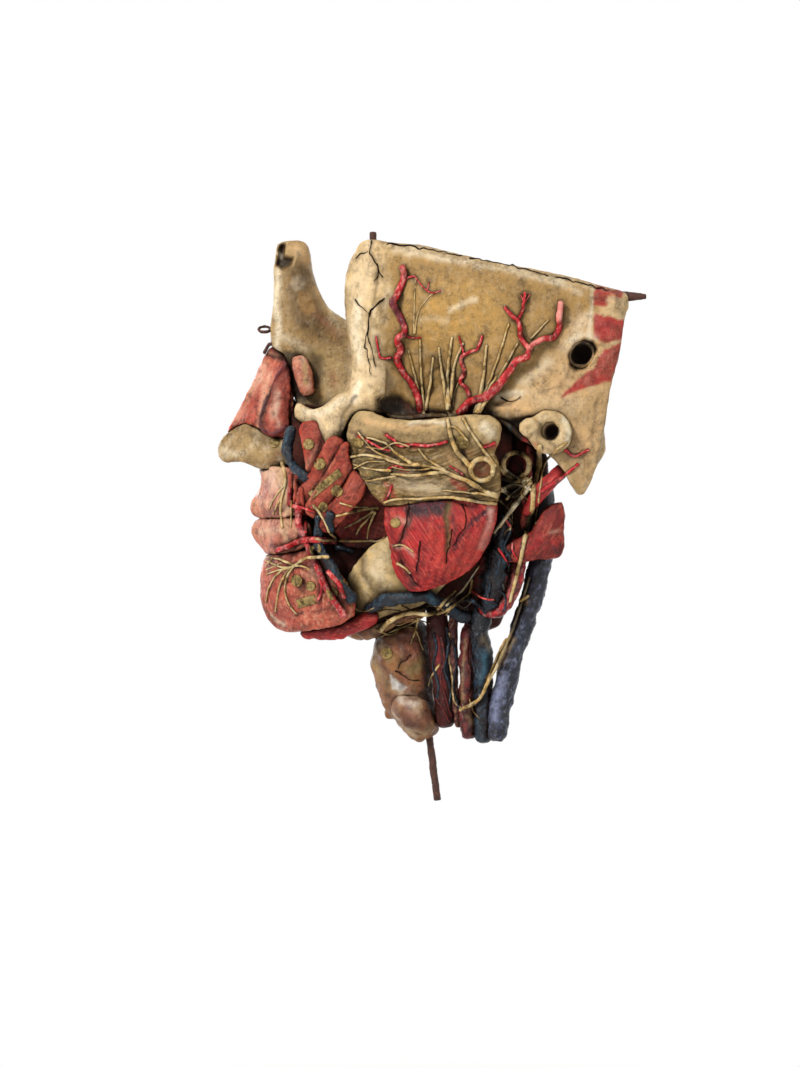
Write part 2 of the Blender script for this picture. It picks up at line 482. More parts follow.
# Brush strokes over the base paint, in the order in which they are laid. Each has a paint, how fully it
# covers, its half width in pixels (none for a filled outline), how far its edge fades, and its route.
BONE_STROKES = (
    # Temple, from the brow to the rear cut
    ("bone_warm", 0.85, 0, 9, "500,340 600,300 612,400 592,470 575,500 545,430 490,412"),
    ("temple_paper", 0.9, 0, 6, "388,252 440,256 520,273 598,292 596,316 566,322 556,345 545,366 524,388 "
     "496,402 470,412 438,416 402,412 388,388 380,352 386,312 394,296 386,272"),
    ("paper_gold", 0.6, 0, 16, "398,305 440,282 495,292 515,330 470,352 410,350"),
    ("temple_shade", 0.5, 3, 7, "400,352 402,374 412,396 440,404 470,402"),
    ("temple_shade", 0.35, 4, 9, "420,268 470,276 540,300"),
    ("temple_shade", 0.3, 5, 9, "430,350 444,372 470,384 500,372"),
    ("bone_ochre", 0.5, 7, 10, "540,330 556,350 548,372"),
    ("bone_ochre", 0.5, 6, 9, "560,410 584,420 596,400"),
    ("temple_shade", 0.4, 4, 8, "576,440 584,464 576,486"),
    ("brow_cream", 0.5, 7, 10, "528,392 548,404 572,404"),
    ("bone_pale", 0.55, 3, 4, "396,250 440,259 500,270 560,285"),
    ("bone_pale", 0.5, 2.5, 3, "450,312 462,306 474,301"),
    ("bone_pale", 0.3, 2, 4, "416,322 432,319 446,322"),
    ("bone_pale", 0.45, 3, 4, "552,280 566,288 578,294"),
    ("bone_pale", 0.4, 5, 6, "584,318 575,336 566,350"),
    ("bone_pale", 0.5, 4, 6, "548,364 534,374 522,382"),
    ("bone_pale", 0.7, 3, 3, "496,398 508,396 520,394"),
    ("glaze", 0.7, 0.8, 1.6, "492,404 503,406 513,402 520,399"),
    ("temple_shade", 0.5, 0.6, 1.6, "540,392 560,387 585,388 606,384"),
    ("temple_shade", 0.45, 2.5, 4, "596,350 574,372 556,390"),
    # Red patches with cream between them
    ("oxblood", 0.95, 0, 1.3, "595,286 622,292 621,299 612,302 606,308 592,307"),
    ("oxblood", 0.95, 0, 1.3, "593,315 624,321 622,342 606,344 591,340"),
    ("oxblood", 0.95, 0, 1.5, "624,343 616,370 608,382 586,389 558,398 572,384 592,369 604,350"),
    ("flesh_dark", 0.6, 2, 3, "620,294 610,300 598,300"),
    ("flesh_dark", 0.45, 3, 4, "596,330 608,326 620,330"),
    ("flesh_dark", 0.4, 3, 4, "616,350 606,366 590,380"),
    ("oxblood_light", 0.5, 1.5, 3, "612,352 602,368 582,382"),
    ("oxblood_light", 0.4, 1.5, 3, "598,322 608,334 618,338"),
    ("bone_pale", 0.7, 1.2, 1.6, "592,290 590,315 588,342"),
    ("hemp", 0.9, 5, 3, "610,302 620,306 622,312"),
    # Edges of the skull: layers of paper show
    ("temple_shade", 0.6, 3, 3, "384,240 410,242 440,248 500,260 560,275 612,289"),
    ("glaze", 0.75, 0.7, 1.4, "384,243 410,245 440,253 500,265 560,280 612,293"),
    ("khaki_pale", 0.6, 2, 3, "396,240 420,246 450,250"),
    ("glaze", 0.45, 0.6, 1.4, "392,248 420,251 448,258 476,262"),
    ("glaze", 0.45, 2.5, 4, "624,344 612,396 603,430 598,462"),
    ("glaze", 0.6, 1, 2.5, "596,400 592,425 591,455"),
    ("bone_ochre", 0.7, 4, 5, "566,462 574,480 578,494"),
    # Peg hole at the back, and the hole of the ear
    ("bone_pale", 0.6, 2, 3, "570,342 582,336 594,340"),
    ("glaze", 0.97, 0, 2, SOCKET_OUTLINE),
    ("glaze", 0.6, 1.2, 2.5, "570,366 566,378 563,370"),
    ("glaze", 0.6, 1, 2, "592,346 601,345"),
    ("glaze", 0.97, 0, 3, circle((552, 433), 9)),
    # Dark hollow behind the brow, where the vessels rise
    ("glaze", 0.98, 0, 3, HOLLOW_OUTLINE),
    ("core_red", 0.6, 2, 3, "404,402 410,410 420,414"),
    ("glaze", 0.97, 0, 2.5, GULLY_OUTLINE),
    ("oxblood", 0.85, 2.6, 2, "524,424 525,436 523,448"),
    ("vein_gloss", 0.5, 1.4, 2, "508,424 510,436"),
    ("oxblood", 0.6, 1.5, 2, "502,444 510,450"),
    ("glaze", 0.8, 0, 5, "428,412 456,414 492,409 506,420 500,426 430,424"),
    ("glaze", 0.7, 2.5, 5, "508,416 524,420 536,416"),
    # Forehead and the inner wall of the orbit
    ("khaki", 0.92, 0, 7, "258,226 322,226 318,290 330,318 345,334 346,372 334,389 300,397 258,388"),
    ("khaki_dark", 0.85, 0, 8, "284,262 310,259 313,291 326,310 342,326 318,332 292,324 286,302 283,280"),
    ("khaki_dark", 0.6, 4, 7, "300,320 318,334 338,336"),
    ("orbit_gold", 0.9, 0, 9, "290,342 318,342 344,342 346,364 336,386 312,392 298,382"),
    ("bone_pale", 0.85, 2.5, 4, "276,268 275,300 277,325 276,350"),
    ("bone_pale", 0.5, 3, 5, "282,334 296,342 306,346"),
    ("bone_warm", 0.6, 4, 5, "290,242 300,246 306,258"),
    ("bone_pale", 0.5, 1.2, 2, "311,246 310,262 312,276"),
    ("khaki_pale", 0.7, 0, 2, circle((296.5, 280), 8)),
    ("salmon_deep", 0.35, 3, 6, "316,312 326,322 338,332"),
    ("tan_label", 0.75, 0, 2, "299,290 307,288 313,298 314,309 306,313 300,308 296,299"),
    ("glaze", 0.7, 0, 5, "310,350 320,352 322,372 316,388 306,386"),
    ("salmon_deep", 0.5, 2, 3, "331,372 335,376 332,384"),
    ("glaze", 0.97, 0, 3, "282,348 302,350 305,398 296,402 288,380"),
    # Broken hole at the top of the forehead
    ("glaze", 0.97, 0, 2, BROKEN_OUTLINE),
    ("bone_pale", 0.9, 1.4, 1.5, "276,250 280,253"),
    ("glaze", 0.5, 0.7, 2, "300,259 310,260"),
    # Brow column and cheek bone
    ("brow_cream", 0.8, 0, 9, "366,246 352,262 346,300 347,340 350,368 347,384 356,398 372,388 392,384 "
     "386,366 374,340 366,318 372,290 380,268"),
    ("bone_ochre", 0.5, 3, 6, "380,300 382,330 386,356"),
    ("bone_pale", 0.75, 3, 5, "358,300 356,330 360,360"),
    ("bone_pale", 0.95, 3, 3, "359,384 356,392 354,400"),
    ("salmon_deep", 0.5, 1, 1.5, "377,337 379,350 384,359"),
    ("temple_shade", 0.6, 3, 6, "345,300 345,330 347,358 344,380"),
    ("glaze", 0.55, 1, 3, "371,312 372,340 377,366"),
    ("glaze", 0.5, 1, 3, "371,254 377,266 377,282"),
    ("brow_cream", 0.85, 0, 5, "299,399 314,406 330,402 342,391 352,398 343,412 339,436 328,446 320,430 "
     "300,421"),
    ("bone_pale", 0.7, 2, 4, "304,410 318,414 332,408 344,398"),
    ("temple_shade", 0.6, 1.5, 4, "300,400 316,404 330,400 342,388"),
    ("glaze", 0.9, 1.6, 3, "356,396 349,404 343,414 341,426 339,440"),
    ("bone_ochre", 0.5, 1.5, 3, "300,420 314,426 323,436 328,446"),
    *dirt_along(FRONT_ARTERY + REAR_ARTERY, "glaze", 0.5, 3.2),
    *dirt_along(FRONT_NERVES + REAR_NERVES, "glaze", 0.4, 1.4),
    *dirt_along(BROW_CRACKS, "temple_shade", 0.5, 1.2),
)
CARTILAGE_STROKES = (
    ("khaki_dark", 0.7, 5, 7, "226,424 244,428 262,440"),
    ("bone_pale", 0.5, 3, 5, "216,444 226,452 240,452"),
    ("glaze", 0.6, 1.5, 4, "222,460 240,461 262,462"),
    ("salmon_deep", 0.5, 2, 4, "270,462 278,452"),
)
NASAL_STROKES = (
    ("salmon_pale", 0.75, 5, 6, "262,362 256,378 248,388"),
    ("salmon_pale", 0.6, 2.5, 4, "252,384 242,404 232,420"),
    ("flesh", 0.6, 6, 7, "256,388 246,408 240,424"),
    ("salmon_pale", 0.8, 2.4, 3, "268,372 262,392 258,414 256,430"),
    ("bone_pale", 0.6, 2, 4, "276,392 274,410 276,424"),
    ("salmon_pale", 0.6, 2, 3, "274,384 271,402 270,418"),
    ("flesh_dark", 0.5, 2, 4, "281,376 284,400 282,420"),
    ("glaze", 0.97, 0, 3, "280,352 302,354 305,426 292,428 294,400 288,372"),
    ("bruise", 0.95, 2.2, 2, "288,357 276,374 265,396 258,416 261,430 272,434 284,426"),
    ("glaze", 0.6, 1.2, 2, "290,360 279,377 268,398 262,416 266,428"),
    ("flesh_dark", 0.8, 0.8, 1.5, "285,362 274,378 267,396 262,414"),
    ("glaze", 0.9, 2.5, 3, "266,352 276,354 286,358"),
    ("hemp", 0.5, 1, 1.5, "268,350 278,352 290,356"),
    ("flesh_dark", 0.7, 2, 3, "262,434 272,438 284,432"),
)
SAC_STROKES = (
    ("lip_pale", 0.7, 2, 4, "300,350 304,368 308,384"),
    ("label", 0.75, 2.6, 1.6, "304,362 306,382"),
)
UPPER_LIP_STROKES = (
    ("lip_pale", 0.8, 6, 8, "264,462 270,476 278,486"),
    ("hemp", 0.8, 4, 5, "278,466 284,488 286,512"),
    ("glaze", 0.5, 1, 2, "275,478 279,492 281,506"),
    ("bruise", 0.75, 3.5, 5, "266,514 274,510 282,506"),
    ("salmon_pale", 0.6, 3, 5, "248,500 258,504 270,500"),
    ("salmon_deep", 0.6, 2, 4, "250,522 266,525 282,524"),
    ("lip_pale", 0.8, 2, 3, "284,514 283,526"),
)
LOWER_LIP_STROKES = (
    ("salmon", 0.6, 6, 8, "250,544 262,548 274,544"),
    ("lip_pale", 0.6, 2.5, 4, "258,532 272,530 284,532"),
    ("hemp", 0.75, 3, 4, "285,522 283,534 288,540"),
    ("bruise", 0.9, 3, 4, "271,546 282,548 294,544 300,538"),
    ("glaze", 0.85, 3, 4, "290,540 296,552 290,556"),
)
CHIN_STROKES = (
    ("flesh", 0.5, 7, 9, "268,590 272,610 290,622"),
    ("salmon_pale", 0.5, 5, 7, "306,576 320,578 334,582"),
    ("lip_pale", 0.6, 4, 5, "312,570 324,568"),
    ("masseter_red", 0.7, 4, 6, "322,588 340,596 352,602"),
    ("masseter_red", 0.6, 3, 5, "336,574 344,586"),
    ("gland_olive", 0.6, 4, 6, "300,592 310,600 322,596"),
    ("bruise", 0.9, 1.6, 2.5, "320,586 320,596 319,604"),
    ("bruise", 0.7, 2.5, 4, "324,568 330,574"),
    ("glaze", 0.9, 2, 2, "296,616 301,614"),
    ("bone_pale", 0.8, 1.6, 3, "270,616 275,622 282,626"),
    ("glaze", 0.75, 2.5, 4, "316,612 336,606 352,600"),
    ("glaze", 0.7, 1.5, 3, "264,612 272,626 290,631 312,626"),
    ("flesh_dark", 0.7, 4, 6, "342,560 352,578 360,592"),
    *dirt_along(CHIN_NERVES, "flesh_dark", 0.6, 1.4),
)
BUCCINATOR_STROKES = (
    ("glaze", 0.95, 0, 5, "346,488 372,482 380,492 362,500 346,508 336,520 330,512"),
    ("flesh_dark", 0.6, 5, 6, "350,540 366,534 382,528"),
    ("salmon", 0.45, 3, 5, "356,512 366,504 376,504"),
    ("masseter_red", 0.5, 3, 5, "340,524 352,522 362,528"),
    ("glaze", 0.9, 0, 4, "340,546 362,543 384,538 380,548 360,556 344,556"),
    *(("salmon", 0.45, 0.6, 1.4, route) for route in CHEEK_FIBRES),
)
STRAP_STROKES = (
    ("salmon_pale", 0.6, 1.4, 2.5, "316,446 304,474"),
    ("salmon_pale", 0.6, 1.4, 2.5, "334,458 318,484 308,500"),
    ("glaze", 0.8, 1.6, 2.5, "320,424 322,440 314,462"),
    ("glaze", 0.8, 1.6, 2.5, "334,452 322,480 312,500"),
    ("glaze", 0.7, 2, 3, "350,470 340,492 330,508"),
    ("salmon_deep", 0.5, 3, 4, "300,430 308,446 304,462"),
    ("bruise", 0.6, 2.5, 4, "300,504 312,510 322,512"),
)
MANDIBLE_STROKES = (
    ("bone_pale", 0.5, 7, 10, "386,556 372,570 380,580"),
    ("bone_ochre", 0.6, 4, 7, "364,560 366,578 380,592"),
    ("temple_shade", 0.6, 3, 6, "392,548 398,570 410,586"),
    ("glaze", 0.7, 2.5, 4, "362,556 362,572 370,588 388,596 408,596"),
)
CORE_STROKES = (
    ("glaze", 0.8, 0, 8, "296,430 360,430 380,500 352,560 320,560 300,500"),
    ("flesh_dark", 0.6, 4, 5, "330,480 344,474 352,482"),
)
TEMPORAL_STROKES = (
    ("flesh_dark", 0.6, 3, 4, "398,372 410,392 416,404"),
    ("bruise", 0.9, 4, 4, "390,300 395,311 401,322"),
    ("bruise", 0.7, 2, 3, "404,336 406,348"),
    ("artery_pale", 0.6, 2, 3, "402,272 408,276"),
    ("artery_pale", 0.8, 4, 4, "560,302 558,318"),
    ("artery_pale", 0.6, 2, 3, "540,340 528,348"),
    ("flesh_dark", 0.7, 3, 4, "468,408 482,398 496,386"),
)
SHEET_STROKES = (
    ("orbit_gold", 1, 0, 4, "340,400 520,400 510,440 480,450 450,444 400,444 372,436 340,448"),
    ("temple_shade", 0.5, 6, 8, "350,420 380,432 420,438 462,440"),
    ("bone_warm", 0.8, 3, 4, "366,422 384,425 404,428 430,428"),
    ("bone_pale", 0.7, 2, 3, "410,424 428,422 446,424"),
    ("bone_pale", 0.8, 5, 4, "484,428 490,434"),
    ("bone_ochre", 0.7, 1, 2, "352,418 346,430 346,442"),
    ("flesh_dark", 0.8, 2, 3, "386,436 396,443 412,446 440,446"),
    ("oxblood", 0.8, 1.2, 2, "398,446 414,447 428,446"),
    ("oxblood", 0.8, 2, 2.5, "484,446 494,446"),
    ("gland_olive", 0.7, 0, 2.5, circle((462, 442), 9)),
    ("bruise", 0.7, 3, 4, "358,434 370,442 384,450"),
    ("flesh_dark", 0.6, 2, 3, "350,430 356,436"),
    ("glaze", 0.5, 0.8, 2, "404,428 414,424 424,428 440,424"),
    ("gland_olive", 0.7, 8, 8, "360,462 376,470 372,484"),
    ("bone_pale", 0.35, 7, 8, "404,482 426,488 450,490"),
    ("bone_warm", 0.6, 4, 6, "444,452 456,466 468,480"),
    ("flesh_dark", 0.6, 2.5, 4, "360,438 380,448 396,460"),
    ("oxblood", 0.8, 2.5, 3, "394,464 400,470 408,472"),
    ("oxblood", 0.7, 2, 3, "392,486 388,496 384,502"),
    ("oxblood", 0.6, 2.5, 3, "448,474 456,480 464,484"),
    ("glaze", 0.6, 3, 4, "446,486 458,484 468,488"),
    ("oxblood", 0.6, 0, 3, circle((481.5, 470), 8)),
    ("bone_ochre", 0.7, 3, 3, "477,466 484,472"),
    ("glaze", 0.7, 1.5, 2.5, "470,486 482,492 494,498"),
    ("glaze", 0.85, 2, 2.5, "462,450 464,460 462,466"),
    ("flesh_dark", 0.5, 1.5, 3, "466,452 474,454 484,452"),
    ("bruise", 0.85, 2.5, 2.5, "360,440 368,448 377,456"),
    ("glaze", 0.6, 1.5, 2, "344,458 360,462 378,462"),
    ("glaze", 0.55, 1.5, 2, "350,476 372,478 392,476"),
    ("bruise", 0.8, 2, 2.5, "412,468 420,470 428,474"),
    ("oxblood", 0.8, 2.2, 2.5, "452,480 458,486 466,492"),
    ("oxblood", 0.75, 2, 2.5, "386,484 391,490 394,498"),
    *(("glaze", 0.6, 0.5, 1.2, route) for route in GLAND_FIBRES[::3]),
    *(("bone_pale", 0.4, 0.6, 1.4, route) for route in GLAND_FIBRES[1::3]),
    *dirt_along(BLOCK_NERVES + BLOCK_ARTERY, "glaze", 0.55, 1.5),
)
MASSETER_STROKES = (
    ("masseter_light", 0.55, 4, 6, "392,510 398,524 404,536"),
    ("lip_pale", 0.5, 3, 5, "398,520 408,522"),
    ("bruise", 0.95, 0, 4, "404,502 442,499 451,504 444,515 420,517 409,515"),
    ("glaze", 0.7, 3, 4, "406,508 424,512 444,508"),
    ("glaze", 0.7, 2, 3, "468,526 478,518 490,508"),
    ("glaze", 0.9, 2.5, 3, "408,506 411,520 404,534 398,546"),
    ("glaze", 0.75, 2, 3, "410,514 424,518 440,512"),
    ("gland_olive", 0.9, 3, 2.5, "448,503 446,520 448,536 447,550"),
    ("glaze", 0.85, 1.2, 2, "452,512 456,530 450,550 446,566"),
    ("masseter_orange", 0.8, 4, 5, "462,506 468,512 462,522"),
    ("bruise", 0.75, 2, 3, "470,524 480,516 488,510"),
    ("bruise", 0.7, 1.5, 3, "472,522 462,536 454,550"),
    ("masseter_pale", 0.85, 3, 4, "491,510 489,528 482,546"),
    ("masseter_light", 0.6, 3, 6, "486,530 476,556 462,574"),
    ("masseter_orange", 0.7, 5, 7, "432,532 440,552 446,568"),
    ("masseter_orange", 0.6, 4, 6, "470,540 462,560 452,574"),
    ("glaze", 0.8, 1.1, 1.6, "421,542 419,556 417,574"),
    ("flesh_dark", 0.85, 4, 5, "398,560 406,572 414,584"),
    ("glaze", 0.7, 2, 3, "400,552 404,568 414,586"),
    ("masseter_pale", 0.6, 1.4, 2, "392,547 404,548 414,556"),
    ("flesh_dark", 0.7, 2, 4, "388,508 391,530 394,550"),
    *(("masseter_light", 0.5, 0.6, 1.3, route) for route in JAW_FIBRES[1::2]),
    *(("flesh_dark", 0.55, 0.6, 1.3, route) for route in JAW_FIBRES[::2]),
)
LARYNX_STROKES = (
    ("larynx_red", 0.9, 0, 8, "396,634 420,630 434,640 430,660 408,662 396,650"),
    ("gland_olive", 0.8, 5, 6, "426,656 420,666 410,672"),
    ("gland_olive", 0.7, 3, 5, "386,648 390,660"),
    ("bone_ochre", 0.6, 5, 7, "376,664 384,680 396,690"),
    ("bone_ochre", 0.8, 3, 4, "374,650 372,664 380,676"),
    ("bone_pale", 0.5, 2, 3, "378,636 380,648"),
    ("glaze", 0.6, 2, 3, "386,696 396,701 406,698"),
    ("glaze", 0.6, 2.5, 4, "398,640 405,652 401,664"),
    ("larynx_red", 0.8, 3, 4, "428,664 424,684 432,700"),
    ("bone_pale", 0.5, 3, 4, "394,716 402,728 414,736"),
    ("glaze", 0.7, 1.5, 3, "384,668 390,676 388,686"),
    ("chip_white", 1, 0, 1.2, "391,677 398,683 407,688 402,695 393,691"),
    ("bone_pale", 0.45, 6, 8, "404,696 412,704 416,714"),
    ("larynx_red", 0.8, 6, 8, "406,716 420,722 436,712"),
    ("glaze", 0.6, 3, 5, "426,690 436,700 430,716"),
    ("bone_ochre", 0.7, 3, 4, "412,734 424,738 432,728"),
    ("glaze", 0.7, 3, 5, "434,634 438,660 436,690"),
    ("glaze", 0.5, 6, 9, "384,640 404,634 428,636"),
    ("glaze", 0.5, 2.5, 5, "378,660 384,680 390,700"),
    ("chip_white", 0.45, 2, 4, "400,700 408,706 416,704"),
    ("glaze", 0.55, 3, 5, "396,712 412,726 430,732"),
    ("flesh_dark", 0.5, 4, 6, "404,690 420,690 432,700"),
)
HYOID_STROKES = (
    ("bone_ochre", 0.6, 3, 5, "372,622 384,628 396,622"),
    ("glaze", 0.8, 2.5, 4, "372,634 386,640 400,630 420,622"),
)
THROAT_MUSCLE_STROKES = (
    ("glaze", 0.85, 4, 5, "448,632 450,662 454,692 458,722"),
    ("glaze", 0.7, 2.5, 4, "432,630 433,660 438,700"),
    ("oxblood", 0.7, 1.6, 2.5, "437,636 438,656 440,672 443,690"),
    ("flesh_dark", 0.8, 3, 4, "446,700 452,716 458,724"),
    ("vein_gloss", 0.6, 0.9, 1.6, "446,640 447,662 450,684"),
)
VAGUS_STROKES = (
    ("vein_dark", 0.95, 6, 7, "534,570 528,590 520,612 512,632"),
    ("glaze", 0.5, 3, 4, "508,640 500,656"),
)
TANGLE_STROKES = (
    ("vein_dark", 0.9, 9, 8, "506,500 500,530 498,560 500,590"),
    ("glaze", 0.8, 4, 4, "492,520 494,548 490,574 496,596"),
    ("glaze", 0.8, 2, 3, "512,520 510,548 514,570"),
    ("vein_gloss", 0.6, 1.6, 2.5, "504,540 502,556 506,572"),
    ("jugular_light", 0.4, 1.2, 2, "508,522 504,534"),
)
CAROTID_STROKES = (
    ("glaze", 0.85, 3, 4, "482,636 480,670 478,710"),
    ("bone_ochre", 0.75, 1.2, 2, "466,640 464,664 463,690 464,704"),
    ("flesh", 0.5, 2, 3, "470,650 469,680 470,706"),
    ("larynx_red", 0.8, 2, 3, "478,640 476,660 475,690"),
    ("glaze", 0.6, 2, 3, "480,636 484,648"),
    ("bone_ochre", 0.6, 4, 4, "470,716 476,724"),
)
OUTER_CAROTID_STROKES = (
    ("flesh_dark", 0.8, 2, 3, "516,568 517,590 508,608 496,620"),
    ("artery_pale", 0.4, 1.5, 3, "510,572 510,588 504,600"),
)
INNER_JUGULAR_STROKES = (
    ("vein_dark", 0.95, 8, 7, "494,560 488,600 480,640"),
    ("glaze", 0.7, 2.5, 4, "478,612 474,640 473,664"),
    ("vein_gloss", 0.8, 2.5, 3, "484,656 486,670 482,684"),
    ("vein_gloss", 0.7, 4, 5, "486,652 488,668 484,684"),
    ("bone_ochre", 0.5, 3, 4, "484,640 490,648"),
    ("glaze", 0.6, 3, 5, "482,706 484,724 486,736"),
    ("jugular_light", 0.5, 2.5, 4, "490,712 492,728"),
)
OUTER_JUGULAR_STROKES = (
    ("vein_dark", 0.9, 8, 8, "548,500 538,548 526,592 516,622 508,646"),
    ("jugular_light", 0.5, 1.5, 3, "538,552 532,574 526,594"),
    ("jugular_light", 0.8, 4, 5, "503,676 498,700 494,722"),
    ("jugular_light", 0.4, 2.5, 4, "534,560 530,580 526,592"),
    ("bone_warm", 0.9, 2.5, 2.5, "518,598 526,602"),
    ("bone_ochre", 0.8, 3, 2.5, "512,640 504,656 496,672"),
    ("glaze", 0.7, 1, 2, "506,642 500,656 493,668"),
    ("glaze", 0.6, 3, 4, "486,730 496,736"),
)
LINK_VEIN_STROKES = (
    ("vein_dark", 0.8, 3, 4, "386,600 404,598 424,596"),
    ("vein_gloss", 0.7, 2, 3, "396,594 412,594 426,590"),
    ("vein_gloss", 0.8, 2, 3, "430,596 434,604 433,612"),
)
STUMP_STROKES = (
    ("flesh_dark", 0.7, 5, 6, "548,512 556,508 556,524"),
    ("masseter_red", 0.6, 4, 6, "532,544 544,546 556,540"),
    ("lip_pale", 0.4, 1.5, 2.5, "548,532 558,530"),
    ("bruise", 0.8, 2, 3, "553,547 558,552"),
    ("oxblood", 0.7, 3, 5, "530,548 540,536"),
)
EAR_STROKES = (
    ("bone_ochre", 0.6, 2, 3, "560,446 570,440 573,428 566,418"),
    ("temple_shade", 0.6, 1.5, 3, "536,438 542,448 552,453 562,450"),
    ("oxblood", 0.6, 1.5, 2, "534,444 540,450"),
    ("glaze", 0.97, 0, 2.5, circle((550, 433), 8)),
    ("bone_pale", 0.8, 2.5, 3, "564,420 568,432 566,442"),
    ("bone_ochre", 0.6, 4, 4, "538,424 542,434"),
    ("glaze", 0.5, 1, 2, "534,420 540,426 536,436"),
    ("glaze", 0.7, 2, 3, "548,444 556,448"),
)
DEEP_CORE_STROKES = (
    ("flesh_dark", 0.9, 0, 5, "496,416 532,416 530,462 498,462"),
    ("oxblood", 0.7, 3, 4, "500,446 504,458 512,470"),
    ("vein_gloss", 0.6, 1.6, 2.5, "508,424 508,438"),
)

# The strokes on each painted piece
PAINTS = {
    "bones": BONE_STROKES,
    "nose_cartilage": CARTILAGE_STROKES,
    "nasal_muscle": NASAL_STROKES,
    "nasal_flap": NASAL_STROKES,
    "lacrimal_sac": SAC_STROKES,
    "upper_lip": UPPER_LIP_STROKES,
    "lower_lip": LOWER_LIP_STROKES,
    "chin_muscle": CHIN_STROKES,
    "buccinator": BUCCINATOR_STROKES,
    "levator_strap": STRAP_STROKES,
    "zygomatic_strap_1": STRAP_STROKES,
    "zygomatic_strap_2": STRAP_STROKES,
    "zygomatic_strap_3": STRAP_STROKES,
    "mandible": MANDIBLE_STROKES,
    "face_core": CORE_STROKES,
    "cheek_sheet": SHEET_STROKES,
    "masseter": MASSETER_STROKES,
    "larynx": LARYNX_STROKES,
    "thyroid_gland": LARYNX_STROKES,
    "hyoid_bone": HYOID_STROKES,
    "throat_muscle": THROAT_MUSCLE_STROKES,
    "temporal_artery_front_painted": TEMPORAL_STROKES,
    "temporal_artery_rear_painted": TEMPORAL_STROKES,
    "common_carotid": CAROTID_STROKES,
    "vagus_nerve": VAGUS_STROKES,
    "retromandibular_vein": TANGLE_STROKES,
    "outer_carotid": OUTER_CAROTID_STROKES,
    "inner_jugular": INNER_JUGULAR_STROKES,
    "outer_jugular": OUTER_JUGULAR_STROKES,
    "link_vein": LINK_VEIN_STROKES,
    "sternomastoid_stump": STUMP_STROKES,
    "ear_canal": EAR_STROKES,
    "deep_core": DEEP_CORE_STROKES,
}

# Rolled edge of the flap on the nose
NASAL_RIM = (
    (1 * MM, 1.2, 2.2, "288,357 276,374 265,396 258,416 261,430 272,434 284,426"),
    (-1.2 * MM, 0, 3, "284,352 302,354 305,426 294,428 296,400 290,372"),
)

# Relief pressed in or raised by hand: its height, half width and fading in pixels, and its route
RELIEFS = {
    "bones": (
        (-0.7 * MM, 1, 3, "378,250 440,257 520,275 620,302"),
        (-0.8 * MM, 1, 3, "372,241 371,254 377,265 379,284 374,306 369,316 370,345 377,368"),
        (-0.6 * MM, 0.8, 2.5, "352,296 358,305 369,315"),
        (-3 * MM, 0, 3, BROKEN_OUTLINE),
        (-3.5 * MM, 0, 4, circle((552, 433), 6)),
        (1.6 * MM, 0, 4, "608,294 624,296 625,312 610,311"),
        (-1.2 * MM, 0, 4, "492,404 503,406 513,402 522,398 520,394 498,398"),
        (0.8 * MM, 3, 5, "486,410 506,408 530,412"),
        (-3.5 * MM, 0, 5, HOLLOW_OUTLINE),
        (-3 * MM, 0, 3, GULLY_OUTLINE),
        (-2.5 * MM, 0, 3, SOCKET_OUTLINE),
    ),
    "masseter": (
        (-1.4 * MM, 1.5, 3, "448,503 446,520 448,536 447,562"),
        (-0.8 * MM, 1, 3, "410,506 408,522 400,546"),
        (-0.6 * MM, 0.6, 2, "421,542 419,556 416,574"),
        (-0.7 * MM, 1, 3, "486,512 472,522 460,540"),
        (0.5 * MM, 2, 4, "430,530 440,560"),
        (0.6 * MM, 2, 4, "462,508 470,516"),
        *((-0.35 * MM, 0.5, 1.4, route) for route in JAW_FIBRES[::2]),
    ),
    "cheek_sheet": (
        (-0.5 * MM, 1.5, 3, "386,436 400,446 440,447"),
        (0.8 * MM, 4, 5, "478,426 490,434"),
        (-0.6 * MM, 1, 2.5, "464,418 470,428 470,440"),
        (0.5 * MM, 0, 2.5, circle((462, 442), 8)),
        (-1.2 * MM, 0, 4, circle((481.5, 470), 7)),
        (-0.9 * MM, 1, 3, "464,450 464,462"),
        (-0.6 * MM, 1.5, 3, "384,446 396,458"),
        *((-0.4 * MM, 0.5, 1.4, route) for route in GLAND_FIBRES),
    ),
    "nasal_flap": NASAL_RIM,
    "nasal_muscle": NASAL_RIM,
    "upper_lip": (
        (-0.5 * MM, 0.8, 2.5, "266,512 276,508 284,512"),
        (0.5 * MM, 1.5, 3, "284,512 283,528"),
    ),
    "lower_lip": ((-1 * MM, 2, 3, "274,546 290,548 300,540"),),
    "chin_muscle": (
        (-0.5 * MM, 1, 3, "296,566 290,590 296,616"),
        (0.5 * MM, 4, 6, "310,580 324,578 338,584"),
        (-0.8 * MM, 1.5, 3, "320,584 320,606"),
    ),
    "larynx": (
        (-1.6 * MM, 0, 2.5, "392,678 398,684 406,688 402,694 394,690"),
        (-0.7 * MM, 1, 2.5, "412,657 401,664 398,672 408,680 424,683"),
        (0.8 * MM, 4, 6, "384,664 392,674"),
        (-0.6 * MM, 1, 3, "400,690 420,696 436,690"),
    ),
}

# Paper labels: round ones by centre and radius, and strips by their ends and half width, in pixels
HEAD_LABELS = (
    ((308.5, 444), 5.6), ((319.6, 464), 6), ((337, 491), 6), ((323, 507), 5), ((272.6, 441.5), 5),
    ((295.7, 581), 6), ((310, 586.6), 5), ((331.6, 593.8), 6.5), ((314.8, 549), 6), ((343.5, 585.8), 6),
    ((386.4, 654.5), 6),
)
HEAD_STRIPS = (((310, 495.7), (340.4, 471.8), 4), ((295.7, 605), (314.8, 599.4), 4.5))
BLOCK_LABELS = (((395.4, 522.8), 5), ((462, 443), 7), ((358.7, 443), 5.5))

